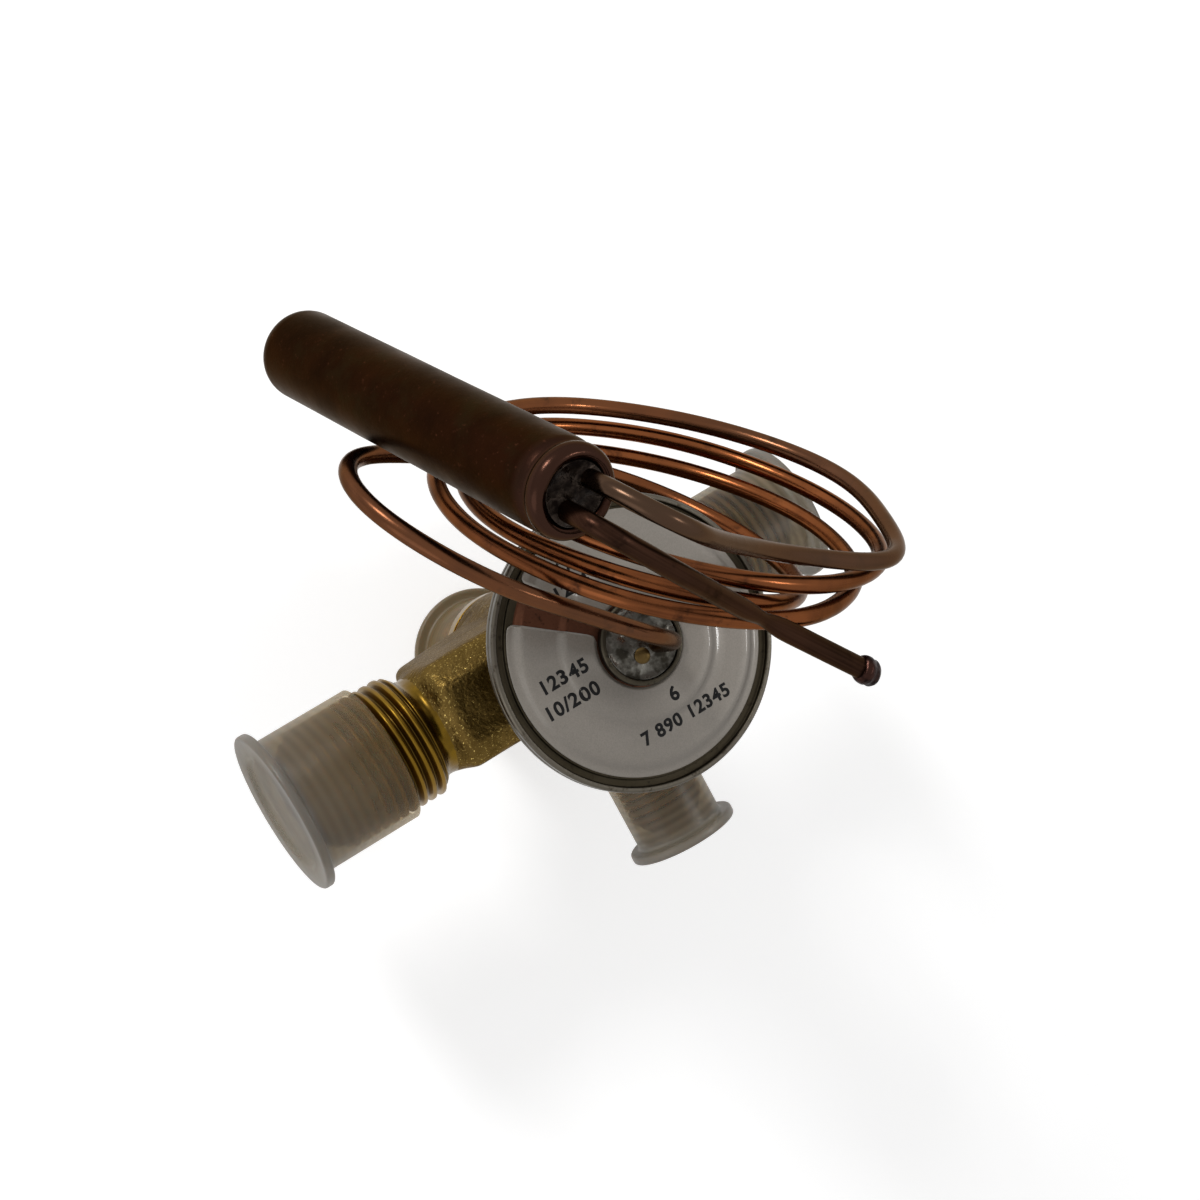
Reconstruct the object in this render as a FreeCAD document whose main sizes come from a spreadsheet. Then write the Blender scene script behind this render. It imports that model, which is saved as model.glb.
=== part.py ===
import FreeCAD, Part
import math
import os
import re
import Sketcher

# Thermostatic expansion valve with flare ports, sensing bulb and coiled capillary tube.
# Millimetres. +Z points up through the diaphragm case and +X from the outlet to the inlet.
# The origin is the centre of the face that the valve stands on, the flange of its stem cap.
# Every piece is drawn about the point where the port axis crosses the case's axis,
# and then lifted to the height of the ports.

Vector = FreeCAD.Vector
Rotation = FreeCAD.Rotation
Placement = FreeCAD.Placement

doc = FreeCAD.newDocument("expansion_valve")

# Driving sizes. Text in place of a number is a size that follows from others.
SIZES = {
    # Places of the ports: a reach is from the crossing of the axes to the tip of the flare nose
    "line_height": "gland_end + stem_cap_gap + cap_end",
    "outlet_reach": 45.0,
    "inlet_reach": 40.6,
    "equalizer_reach": 29.4,
    "equalizer_rise": 11.4,
    # Flare threads 3/4-16, 5/8-18 and 7/16-20, with bores for 1/2, 3/8 and 1/4 inch tube
    "outlet_thread_radius": 9.525,
    "outlet_thread_start": 24.0,
    "outlet_neck_radius": 7.5,
    "outlet_nose": 3.2,
    "outlet_bore_radius": 5.2,
    "outlet_bore_end": 12.0,
    "inlet_thread_radius": 7.9375,
    "inlet_thread_start": 20.0,
    "inlet_neck_radius": 6.4,
    "inlet_nose": 3.0,
    "inlet_bore_radius": 3.9,
    "inlet_bore_end": 16.0,
    "equalizer_thread_radius": 5.556,
    "equalizer_thread_start": 15.4,
    "equalizer_neck_radius": 4.7,
    "equalizer_nose": 2.2,
    "equalizer_bore_radius": 2.4,
    "equalizer_bore_end": 6.3,
    "thread_chamfer": 0.7,
    # Body forging
    "arm_half_width": 8.2,
    "arm_top": 9.2,
    "arm_chamfer": 3.2,
    "outlet_arm_length": 21.4,
    "inlet_arm_length": 16.4,
    "arm_end_depth": 9.3,
    "shoulder_depth": 15.0,
    "shoulder_half_length": 8.0,
    "arm_edge_radius": 1.2,
    "column_radius": 10.0,
    "column_top": 17.0,
    "column_bottom": 20.0,
    "spigot_radius": 9.0,
    "spigot_top": 24.0,
    "equalizer_boss_radius": 6.4,
    "equalizer_boss_reach": 13.2,
    # Inner passages of the body
    "chamber_radius": 6.5,
    "chamber_top": 6.5,
    "gland_bore_radius": 7.0,
    "gland_bore_top": 14.0,
    "seat_bore_radius": 4.2,
    "seat_bore_top": 6.0,
    "feed_bore_radius": 3.2,
    "drill_radius": 3.0,
    "rod_circle": 5.76,
    "rod_azimuth": 60.0,
    "rod_radius": 0.75,
    "riser_radius": 0.95,
    "riser_circle": 7.3,
    # Diaphragm case
    "case_radius": 20.2,
    "case_top": 32.3,
    "case_wall": 0.85,
    "hub_radius": 11.6,
    "hub_bottom": 17.6,
    "hub_top": 24.6,
    "rim_bottom": 30.0,
    "rim_inner_radius": "case_radius - 2.2",
    "bead_width": 0.8,
    "groove_width": 1.0,
    "groove_depth": 0.6,
    "step_height": 0.85,
    "step_run": 0.8,
    "outer_step_radius": "case_radius - 3.1",
    "inner_step_radius": "case_radius - 8.9",
    "diaphragm_level": 31.0,
    "diaphragm_thickness": 0.3,
    "diaphragm_radius": "case_radius - 0.3",
    "diaphragm_rise": 0.6,
    "plate_radius": "case_radius - 9.2",
    "plate_thickness": 1.6,
    "plate_hub_radius": 7.4,
    "plate_hub_bottom": 27.0,
    # Capillary boss and label
    "boss_radius": 5.9,
    "boss_wall": 0.75,
    "boss_floor": 0.6,
    "boss_height": 1.4,
    "boss_stub_radius": 4.0,
    "solder_depth": 0.5,
    "foot_x": 1.8,
    "foot_y": -1.3,
    "plug_x": -0.8,
    "plug_y": -1.7,
    "plug_radius": 1.15,
    "label_outer_radius": "case_radius - 2.1",
    "label_inner_radius": 6.05,
    "label_thickness": 0.15,
    "label_gap_angle": 19.0,
    "label_gap_azimuth": 133.5,
    # Pin, seat and spring
    "insert_radius": 4.15,
    "insert_flange_radius": 4.8,
    "insert_flange": 0.6,
    "insert_groove_radius": 3.2,
    "insert_groove_half": 2.6,
    "insert_bore_radius": 2.1,
    "insert_hole_radius": 0.9,
    "port_radius": 1.2,
    "pin_radius": 1.6,
    "pin_tip_radius": 0.5,
    "carrier_radius": 6.3,
    "carrier_top": 9.6,
    "carrier_thickness": 2.4,
    "carrier_boss_radius": 3.9,
    "spring_radius": 4.6,
    "spring_wire_radius": 0.55,
    "spring_turns": 5.5,
    "nut_radius": 5.8,
    "nut_top": 22.5,
    "nut_thickness": 3.0,
    "lug_width": 2.0,
    "lug_radius": 6.25,
    # Adjusting stem and its gland
    "stem_radius": 2.45,
    "stem_top": 19.6,
    "stem_collar_radius": 3.9,
    "stem_collar": 1.2,
    "stem_end": "gland_end - 0.9",
    "stem_square": 3.4,
    "stem_square_length": 2.0,
    "gland_flange_radius": 9.6,
    "gland_flange": 2.4,
    "gland_relief": 0.8,
    "gland_inner_radius": 5.9,
    "nut_travel": 1.6,
    "gland_floor": "nut_top + nut_thickness + nut_travel + 0.15",
    "gland_shoulder": "gland_floor + 1.15",
    "gland_end": "packing_top + packing_thickness + 2.8",
    "packing_radius": 3.6,
    "packing_top": "gland_shoulder + 1.6",
    "packing_thickness": 1.6,
    "gasket_thickness": 0.6,
    "gasket_radius": 9.4,
    "fit": 0.04,
    # Plastic caps
    "cap_wall": 0.85,
    "cap_grip": 0.045,
    "cap_end": 1.5,
    "cap_end_gap": 0.5,
    "cap_dish": 0.7,
    "outlet_cap_length": 16.7,
    "outlet_flange_radius": 12.3,
    "inlet_cap_length": 17.8,
    "inlet_flange_radius": 10.7,
    "equalizer_cap_length": 14.0,
    "equalizer_flange_radius": 8.05,
    "stem_cap_gap": 1.1,
    "stem_cap_length": "line_height - column_bottom - gasket_thickness - gland_flange - 0.6",
    "stem_flange_radius": 10.6,
    "cap_flange": 1.4,
    # Inlet strainer
    "strainer_collar": 1.4,
    "strainer_radius": 2.7,
    "strainer_tip_radius": 2.1,
    "strainer_length": 9.5,
    "strainer_wall": 0.35,
    # Sensing bulb, on a line through the centre of its domed end
    "bulb_x": -18.63,
    "bulb_y": 55.91,
    "bulb_z": 20.33,
    "bulb_azimuth": -81.5,
    "bulb_rise": 62.6,
    "bulb_radius": 6.0,
    "bulb_length": 66.5,
    "bulb_dome_radius": 4.0,
    "bulb_groove": 0.35,
    "bulb_groove_width": 1.2,
    "bulb_groove_place": "bulb_length - 2.7",
    "bulb_mouth_radius": 4.1,
    "bulb_mouth_depth": 1.6,
    "bulb_shoulder_radius": 1.5,
    # Capillary and charge tube
    "tube_radius": 1.2,
    "tube_offset_u": -2.3,
    "tube_offset_w": -0.6,
    "charge_radius": 1.45,
    "charge_offset_u": 2.0,
    "charge_offset_w": 0.9,
    "charge_flat": 0.8,
    "charge_flat_width": 1.65,
    "charge_pinch_length": 5.0,
    "seal_radius": 1.95,
    "seal_length": 3.2,
    # Loose coil of the capillary: its centre and the way its axis leans
    "coil_x": 9.0,
    "coil_y": 16.1,
    "coil_z": 35.2,
    "coil_azimuth": 52.1,
    "coil_rise": 23.8,
}

sheet = doc.addObject("Spreadsheet::Sheet", "Sizes")
for row, alias in enumerate(SIZES, start=1):
    sheet.set("A%d" % row, alias)
    sheet.setAlias("B%d" % row, alias)
for row, value in enumerate(SIZES.values(), start=1):
    sheet.set("B%d" % row, "=" + value if isinstance(value, str) else repr(value))
doc.recompute()


def bound(text):
    """The expression with each size's name pointed at the sheet."""
    return re.sub("[a-z_]+", lambda word: "Sizes." + word.group() if word.group() in SIZES else word.group(), text)


def number(text):
    """The value of an expression of sheet sizes, such as 'column_top - 2'."""
    return float(sheet.evalExpression(bound(text)))


subparts = []


def keep(piece, label):
    """Names a finished sub-part, which is also its file's name."""
    piece.Label = label
    subparts.append(piece)
    return piece


def seat(piece, along="Z", rise="line_height"):
    """Lifts a piece to the ports' height and turns its own Z along the named direction."""
    turns = {
        "Z": Rotation(),
        "-X": Rotation(Vector(0, 1, 0), -90),
        "X": Rotation(Vector(0, 1, 0), 90),
        "-Y": Rotation(Vector(1, 0, 0), 90),
        "-Z": Rotation(Vector(1, 0, 0), 180),
    }
    piece.Placement = Placement(Vector(0, 0, 0), turns[along])
    piece.setExpression("Placement.Base.z", bound(rise))
    return piece


# Sketches and features

def new_sketch(body, name, role):
    """A sketch on one of the body's own origin planes."""
    sketch = body.newObject("Sketcher::SketchObject", name)
    plane = [feature for feature in body.Origin.OriginFeatures if feature.Role == role][0]
    sketch.AttachmentSupport = [(plane, "")]
    sketch.MapMode = "FlatFace"
    return sketch


def pin_point(rules, expressions, geometry, vertex, texts):
    """Adds the two rules that hold a point of a sketch at expressions of sheet sizes."""
    for kind, axis, text in (("DistanceX", -2, texts[0]), ("DistanceY", -1, texts[1])):
        if text == "0":
            rules.append(Sketcher.Constraint("PointOnObject", geometry, vertex, axis))
        else:
            expressions.append((len(rules), bound(text)))
            rules.append(Sketcher.Constraint(kind, -1, 1, geometry, vertex, number(text)))


def apply_rules(sketch, rules, expressions):
    """Gives a sketch its rules and ties them to the sheet."""
    sketch.addConstraint(rules)
    for index, expression in expressions:
        sketch.setExpression("Constraints[%d]" % index, expression)


def draw_outline(sketch, outline, axis=None):
    """Draws a closed outline of straight edges, and an axis line if one is given."""
    corners = [Vector(number(across), number(up), 0) for across, up in outline]
    count = len(corners)
    for k in range(count):
        sketch.addGeometry(Part.LineSegment(corners[k], corners[(k + 1) % count]), False)
    rules = [Sketcher.Constraint("Coincident", k, 2, (k + 1) % count, 1) for k in range(count)]
    expressions = []
    for k in range(count):
        pin_point(rules, expressions, k, 1, outline[k])
    if axis:
        ends = [Vector(number(across), number(up), 0) for across, up in axis]
        sketch.addGeometry(Part.LineSegment(ends[0], ends[1]), True)
        pin_point(rules, expressions, count, 1, axis[0])
        pin_point(rules, expressions, count, 2, axis[1])
    apply_rules(sketch, rules, expressions)
    return sketch


def draw_circles(sketch, circles):
    """Draws circles, each given by its centre and radius as expressions."""
    rules = []
    expressions = []
    for k, (across, up, radius) in enumerate(circles):
        centre = Vector(number(across), number(up), 0)
        sketch.addGeometry(Part.Circle(centre, Vector(0, 0, 1), number(radius)), False)
        expressions.append((len(rules), bound(radius)))
        rules.append(Sketcher.Constraint("Radius", k, number(radius)))
        pin_point(rules, expressions, k, 3, (across, up))
    apply_rules(sketch, rules, expressions)
    return sketch


def turn(body, name, outline, role="XZ_Plane", about="V_Axis", axis=None, cut=False):
    """A full turn of an outline, added to the body or cut from it."""
    sketch = draw_outline(new_sketch(body, name + "_outline", role), outline, axis)
    feature = body.newObject("PartDesign::Groove" if cut else "PartDesign::Revolution", name)
    feature.Profile = sketch
    feature.ReferenceAxis = (sketch, ["Axis0" if axis else about])
    feature.Angle = 360.0
    return feature


def drill_through(body, name, circles, role="XY_Plane"):
    """Round holes right through the body, square to one of its planes."""
    sketch = draw_circles(new_sketch(body, name + "_circles", role), circles)
    feature = body.newObject("PartDesign::Pocket", name)
    feature.Profile = sketch
    feature.Type = 1
    feature.Midplane = True
    return feature


def ring_edges(shape, radius, height):
    """Names of the round edges about Z that have the given radius and height."""
    names = []
    for index, edge in enumerate(shape.Edges, start=1):
        if isinstance(edge.Curve, Part.Circle):
            near = abs(edge.Curve.Radius - radius) < 0.01 and abs(edge.Curve.Center.z - height) < 0.01
            if near:
                names.append("Edge%d" % index)
    return names


def turned_piece(label, outline, along="Z", rise="line_height"):
    """A piece that is one turned solid, its outline given as radius and height along its axis."""
    body = doc.addObject("PartDesign::Body", label)
    turn(body, label + "_turned", outline)
    seat(body, along, rise)
    return keep(body, label)


def shape_piece(label, shape, along="Z"):
    """A piece whose shape is worked out from the sheet's sizes."""
    feature = doc.addObject("Part::Feature", label)
    feature.Shape = shape
    seat(feature, along)
    return keep(feature, label)


# Valve body

def flare_end(port, arm_length, arm_radius):
    """Neck, threaded part and 45 degree flare nose of a port, as corners (distance, radius)."""
    thread = port + "_thread_radius"
    start = port + "_thread_start"
    shoulder = port + "_reach - " + port + "_nose"
    return [
        (arm_length + " - 5", "0"),
        (arm_length + " - 5", arm_radius),
        (arm_length + " - 0.4", arm_radius),
        (start + " - 2", port + "_neck_radius"),
        (start, port + "_neck_radius"),
        (start + " + thread_chamfer", thread),
        (shoulder + " - thread_chamfer", thread),
        (shoulder, thread + " - thread_chamfer"),
        (port + "_reach - thread_chamfer", thread + " - " + port + "_nose"),
        (port + "_reach", thread + " - " + port + "_nose"),
        (port + "_reach", "0"),
    ]


def mirrored(outline):
    """The outline on the other side of the upright axis."""
    return [("0" if across == "0" else "-(" + across + ")", up) for across, up in outline]


def make_valve_body():
    """The forging: two arms in line, a round column and an equaliser branch, with its passages."""
    body = doc.addObject("PartDesign::Body", "valve_body")

    sketch = new_sketch(body, "arms_outline", "XZ_Plane")
    draw_outline(sketch, [
        ("-outlet_arm_length", "arm_top"),
        ("-outlet_arm_length", "-arm_end_depth"),
        ("-shoulder_half_length", "-shoulder_depth"),
        ("shoulder_half_length", "-shoulder_depth"),
        ("inlet_arm_length", "-arm_end_depth"),
        ("inlet_arm_length", "arm_top"),
    ])
    arms = body.newObject("PartDesign::Pad", "arms")
    arms.Profile = sketch
    arms.Midplane = True
    arms.setExpression("Length", bound("2 * arm_half_width"))
    doc.recompute()
    top_edges = []
    for index, edge in enumerate(arms.Shape.Edges, start=1):
        box = edge.BoundBox
        if box.ZMin > number("arm_top") - 0.01 and box.XLength > 5:
            top_edges.append("Edge%d" % index)
    bevels = body.newObject("PartDesign::Chamfer", "arm_bevels")
    bevels.Base = (arms, top_edges)
    bevels.setExpression("Size", bound("arm_chamfer"))
    body.Tip = bevels
    doc.recompute()
    low_edges = []
    for index, edge in enumerate(bevels.Shape.Edges, start=1):
        box = edge.BoundBox
        if box.ZMax < 0 and box.XLength > 3:
            low_edges.append("Edge%d" % index)
    rounds = body.newObject("PartDesign::Fillet", "arm_rounds")
    rounds.Base = (bevels, low_edges)
    rounds.setExpression("Radius", bound("arm_edge_radius"))
    body.Tip = rounds
    doc.recompute()

    turn(body, "column", [
        ("0", "-column_bottom"),
        ("column_radius - 0.8", "-column_bottom"),
        ("column_radius", "-column_bottom + 0.8"),
        ("column_radius", "column_top"),
        ("spigot_radius", "column_top"),
        ("spigot_radius", "spigot_top - 0.6"),
        ("spigot_radius - 0.6", "spigot_top"),
        ("0", "spigot_top"),
    ])
    turn(body, "outlet_end", mirrored(flare_end("outlet", "outlet_arm_length", "8.1")), about="H_Axis")
    turn(body, "inlet_end", flare_end("inlet", "inlet_arm_length", "7.4"), about="H_Axis")
    branch = flare_end("equalizer", "equalizer_boss_reach", "equalizer_boss_radius")
    branch[0] = ("1", "0")
    branch[1] = ("1", branch[1][1])
    lifted = [(across, "equalizer_rise" if up == "0" else "equalizer_rise + " + up) for across, up in branch]
    level = (("-1", "equalizer_rise"), ("-10", "equalizer_rise"))
    turn(body, "equalizer_branch", mirrored(lifted), role="YZ_Plane", axis=level)

    turn(body, "case_seat", [
        ("spigot_radius", "column_top"),
        ("equalizer_boss_reach + 1", "column_top"),
        ("equalizer_boss_reach + 1", "hub_top"),
        ("spigot_radius", "hub_top"),
    ], cut=True)
    turn(body, "outlet_bore", [
        ("-outlet_reach - 1", "0"),
        ("-outlet_reach - 1", "outlet_bore_radius"),
        ("-outlet_bore_end", "outlet_bore_radius"),
        ("-outlet_bore_end + outlet_bore_radius * 0.6", "0"),
    ], about="H_Axis", cut=True)
    turn(body, "inlet_bore", [
        ("seat_bore_radius - 1", "0"),
        ("seat_bore_radius - 1", "feed_bore_radius"),
        ("inlet_bore_end", "feed_bore_radius"),
        ("inlet_bore_end", "inlet_bore_radius"),
        ("inlet_reach + 1", "inlet_bore_radius"),
        ("inlet_reach + 1", "0"),
    ], about="H_Axis", cut=True)
    turn(body, "spring_chamber", [
        ("0", "-column_bottom - 1"),
        ("gland_bore_radius", "-column_bottom - 1"),
        ("gland_bore_radius", "-gland_bore_top"),
        ("chamber_radius", "-gland_bore_top"),
        ("chamber_radius", "-chamber_top"),
        ("seat_bore_radius", "-chamber_top"),
        ("seat_bore_radius", "seat_bore_top"),
        ("0", "seat_bore_top + seat_bore_radius * 0.5"),
    ], cut=True)
    turn(body, "equalizer_bore", [
        ("-equalizer_bore_end", "equalizer_rise"),
        ("-equalizer_bore_end", "equalizer_rise + equalizer_bore_radius"),
        ("-equalizer_reach - 1", "equalizer_rise + equalizer_bore_radius"),
        ("-equalizer_reach - 1", "equalizer_rise"),
    ], role="YZ_Plane", axis=level, cut=True)
    turn(body, "equalizer_riser", [
        ("-riser_circle", "equalizer_rise"),
        ("-riser_circle + riser_radius", "equalizer_rise"),
        ("-riser_circle + riser_radius", "spigot_top + 1"),
        ("-riser_circle", "spigot_top + 1"),
    ], role="YZ_Plane", axis=(("-riser_circle", "1"), ("-riser_circle", "9")), cut=True)
    # A slanted hole leads from the end of the outlet bore down into the spring chamber
    turn(body, "chamber_drilling", [
        ("-12.8", "-1"),
        ("-12.8 + drill_radius * 0.815", "-1 + drill_radius * 0.58"),
        ("-5.2 + drill_radius * 0.815", "-11.7 + drill_radius * 0.58"),
        ("-5.2", "-11.7"),
    ], axis=(("-12.8", "-1"), ("-5.2", "-11.7")), cut=True)
    drill_through(body, "rod_holes", [
        ("rod_circle * cos(rod_azimuth * 1deg)", "rod_circle * sin(rod_azimuth * 1deg)", "rod_radius + fit"),
        ("-rod_circle * cos(rod_azimuth * 1deg)", "-rod_circle * sin(rod_azimuth * 1deg)", "rod_radius + fit"),
    ])
    seat(body)
    return keep(body, "valve_body")


make_valve_body()

# Diaphragm case

turned_piece("lower_case", [
    ("spigot_radius + fit", "hub_bottom"),
    ("hub_radius", "hub_bottom"),
    ("hub_radius", "hub_top"),
    ("case_radius - 2.6", "rim_bottom - 0.9"),
    ("case_radius - 1.2", "rim_bottom"),
    ("case_radius", "rim_bottom"),
    ("case_radius", "diaphragm_level"),
    ("rim_inner_radius", "diaphragm_level"),
    ("rim_inner_radius - 0.5", "rim_bottom - 0.1"),
    ("spigot_radius + fit", "hub_top"),
])

turned_piece("upper_case", [
    ("rim_inner_radius", "diaphragm_level + diaphragm_thickness"),
    ("case_radius", "diaphragm_level + diaphragm_thickness"),
    ("case_radius", "case_top - 0.1"),
    ("case_radius - 0.25", "case_top + 0.15"),
    ("case_radius - bead_width + 0.15", "case_top + 0.15"),
    ("case_radius - bead_width", "case_top"),
    ("case_radius - bead_width", "case_top - groove_depth"),
    ("case_radius - bead_width - groove_width", "case_top - groove_depth"),
    ("case_radius - bead_width - groove_width", "case_top"),
    ("outer_step_radius", "case_top"),
    ("outer_step_radius - step_run", "case_top + step_height"),
    ("inner_step_radius", "case_top + step_height"),
    ("inner_step_radius - step_run", "case_top + 2 * step_height"),
    ("boss_stub_radius + fit", "case_top + 2 * step_height"),
    ("boss_stub_radius + fit", "case_top + 2 * step_height - case_wall"),
    ("inner_step_radius - step_run + 0.4", "case_top + 2 * step_height - case_wall"),
    ("inner_step_radius + 0.4", "case_top + step_height - case_wall"),
    ("outer_step_radius - step_run + 0.4", "case_top + step_height - case_wall"),
    ("outer_step_radius + 0.4", "case_top - case_wall"),
    ("rim_inner_radius - 0.3", "case_top - case_wall"),
])

turned_piece("diaphragm", [
    ("0", "diaphragm_level + diaphragm_rise"),
    ("plate_radius + 0.4", "diaphragm_level + diaphragm_rise"),
    ("plate_radius + 1.3", "diaphragm_level + diaphragm_rise * 0.4"),
    ("plate_radius + 2.2", "diaphragm_level + diaphragm_rise * 0.7"),
    ("plate_radius + 3.4", "diaphragm_level"),
    ("diaphragm_radius", "diaphragm_level"),
    ("diaphragm_radius", "diaphragm_level + diaphragm_thickness"),
    ("plate_radius + 3.4", "diaphragm_level + diaphragm_thickness"),
    ("plate_radius + 2.2", "diaphragm_level + diaphragm_rise * 0.7 + diaphragm_thickness"),
    ("plate_radius + 1.3", "diaphragm_level + diaphragm_rise * 0.4 + diaphragm_thickness"),
    ("plate_radius + 0.4", "diaphragm_level + diaphragm_rise + diaphragm_thickness"),
    ("0", "diaphragm_level + diaphragm_rise + diaphragm_thickness"),
])

turned_piece("buffer_plate", [
    ("0", "plate_hub_bottom"),
    ("plate_hub_radius", "plate_hub_bottom"),
    ("plate_hub_radius", "diaphragm_level + diaphragm_rise - plate_thickness"),
    ("plate_radius", "diaphragm_level + diaphragm_rise - plate_thickness"),
    ("plate_radius", "diaphragm_level + diaphragm_rise - 0.3"),
    ("plate_radius - 0.3", "diaphragm_level + diaphragm_rise"),
    ("0", "diaphragm_level + diaphragm_rise"),
])

turned_piece("element_gasket", [
    ("spigot_radius + 0.3", "column_top"),
    ("column_radius", "column_top"),
    ("column_radius", "hub_bottom"),
    ("spigot_radius + 0.3", "hub_bottom"),
])


# Capillary boss and label

DECK = "case_top + 2 * step_height"

boss = doc.addObject("PartDesign::Body", "capillary_boss")
turn(boss, "boss_cup", [
    ("0", DECK + " - case_wall"),
    ("boss_stub_radius", DECK + " - case_wall"),
    ("boss_stub_radius", DECK),
    ("boss_radius", DECK),
    ("boss_radius", DECK + " + boss_height - 0.2"),
    ("boss_radius - 0.2", DECK + " + boss_height"),
    ("boss_radius - boss_wall", DECK + " + boss_height"),
    ("boss_radius - boss_wall", DECK + " + boss_floor"),
    ("0", DECK + " + boss_floor"),
])
drill_through(boss, "boss_holes", [
    ("foot_x", "foot_y", "tube_radius + fit"),
    ("plug_x", "plug_y", "plug_radius + fit"),
])
keep(seat(boss), "capillary_boss")

solder = doc.addObject("PartDesign::Body", "boss_solder")
turn(solder, "solder_pool", [
    ("0", DECK + " + boss_floor"),
    ("boss_radius - boss_wall - fit", DECK + " + boss_floor"),
    ("boss_radius - boss_wall - fit", DECK + " + boss_floor + solder_depth"),
    ("boss_radius - boss_wall - 1.3", DECK + " + boss_floor + solder_depth * 0.6"),
    ("0", DECK + " + boss_floor + solder_depth * 0.5"),
])
drill_through(solder, "solder_holes", [
    ("foot_x", "foot_y", "tube_radius + fit"),
    ("plug_x", "plug_y", "plug_radius + fit"),
])
keep(seat(solder), "boss_solder")

plug = turned_piece("boss_plug", [
    ("0", DECK + " - case_wall"),
    ("plug_radius", DECK + " - case_wall"),
    ("plug_radius", DECK + " + boss_floor + solder_depth * 0.7"),
    ("plug_radius - 0.4", DECK + " + boss_floor + solder_depth"),
    ("0", DECK + " + boss_floor + solder_depth"),
])
plug.setExpression("Placement.Base.x", bound("plug_x"))
plug.setExpression("Placement.Base.y", bound("plug_y"))


def make_label():
    """A thin ring that follows the steps of the case, open over a small angle."""
    over = [
        ("label_outer_radius", "case_top"),
        ("outer_step_radius", "case_top"),
        ("outer_step_radius - step_run", "case_top + step_height"),
        ("inner_step_radius", "case_top + step_height"),
        ("inner_step_radius - step_run", "case_top + 2 * step_height"),
        ("label_inner_radius", "case_top + 2 * step_height"),
    ]
    under = [Vector(number(across), 0, number(up)) for across, up in over]
    lift = Vector(0, 0, number("label_thickness"))
    corners = under + [corner + lift for corner in reversed(under)]
    gap = number("label_gap_angle")
    section = Part.Face(Part.makePolygon(corners + [corners[0]]))
    ring = section.revolve(Vector(), Vector(0, 0, 1), 360 - gap)
    ring.rotate(Vector(), Vector(0, 0, 1), number("label_gap_azimuth") + gap / 2)
    return ring


shape_piece("element_label", make_label())


# Valve seat, pin and spring

insert = doc.addObject("PartDesign::Body", "seat_insert")
turn(insert, "insert_turned", [
    ("0", "seat_bore_top - 0.6"),
    ("0", "seat_bore_top - 2.4"),
    ("insert_bore_radius", "seat_bore_top - 2.4"),
    ("insert_bore_radius", "-chamber_top + 2"),
    ("port_radius", "-chamber_top + 1.2"),
    ("port_radius", "-chamber_top - insert_flange"),
    ("insert_flange_radius", "-chamber_top - insert_flange"),
    ("insert_flange_radius", "-chamber_top"),
    ("insert_radius", "-chamber_top"),
    ("insert_radius", "-insert_groove_half"),
    ("insert_groove_radius", "-insert_groove_half"),
    ("insert_groove_radius", "insert_groove_half"),
    ("insert_radius", "insert_groove_half"),
    ("insert_radius", "seat_bore_top - 0.6"),
])
drill_through(insert, "insert_holes_lengthways", [("0", "0", "insert_hole_radius")], role="YZ_Plane")
drill_through(insert, "insert_holes_crossways", [("0", "0", "insert_hole_radius")], role="XZ_Plane")
keep(seat(insert), "seat_insert")

turned_piece("valve_pin", [
    ("0", "-carrier_top - carrier_thickness"),
    ("pin_radius", "-carrier_top - carrier_thickness"),
    ("pin_radius", "-chamber_top - insert_flange - 0.7"),
    ("pin_tip_radius", "-chamber_top - insert_flange + 1.1"),
    ("0", "-chamber_top - insert_flange + 1.1"),
])

turned_piece("pin_carrier", [
    ("pin_radius + fit / 2", "-carrier_top"),
    ("carrier_radius", "-carrier_top"),
    ("carrier_radius", "-carrier_top - carrier_thickness"),
    ("carrier_boss_radius", "-carrier_top - carrier_thickness"),
    ("carrier_boss_radius", "-carrier_top - carrier_thickness - 1.2"),
    ("pin_radius + fit / 2", "-carrier_top - carrier_thickness - 1.2"),
])


def make_push_rods():
    """Two plain rods from the carrier up to the plate under the diaphragm."""
    length = number("carrier_top + plate_hub_bottom")
    rods = []
    for half_turn in (0, 180):
        azimuth = math.radians(number("rod_azimuth") + half_turn)
        circle = number("rod_circle")
        foot = Vector(circle * math.cos(azimuth), circle * math.sin(azimuth), -number("carrier_top"))
        rods.append(Part.makeCylinder(number("rod_radius"), length, foot))
    return Part.makeCompound(rods)


shape_piece("push_rods", make_push_rods())


def make_spring():
    """A round-wire coil with ends ground flat, between the carrier and the spring seat."""
    top = -number("carrier_top + carrier_thickness")
    bottom = -number("nut_top")
    wire_radius = number("spring_wire_radius")
    mean_radius = number("spring_radius")
    height = top - bottom
    pitch = (height - 1.2 * wire_radius) / number("spring_turns")
    path = Part.makeHelix(pitch, pitch * number("spring_turns"), mean_radius)
    start = Vector(mean_radius, 0, 0)
    section = Part.Wire(Part.makeCircle(wire_radius, start, Vector(0, 1, 0)))
    coil = Part.Wire(path.Edges).makePipeShell([section], True, True)
    coil.translate(Vector(0, 0, bottom + 0.6 * wire_radius))
    between = Part.makeCylinder(mean_radius + 2, height, Vector(0, 0, bottom))
    return coil.common(between)


shape_piece("superheat_spring", make_spring())

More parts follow.
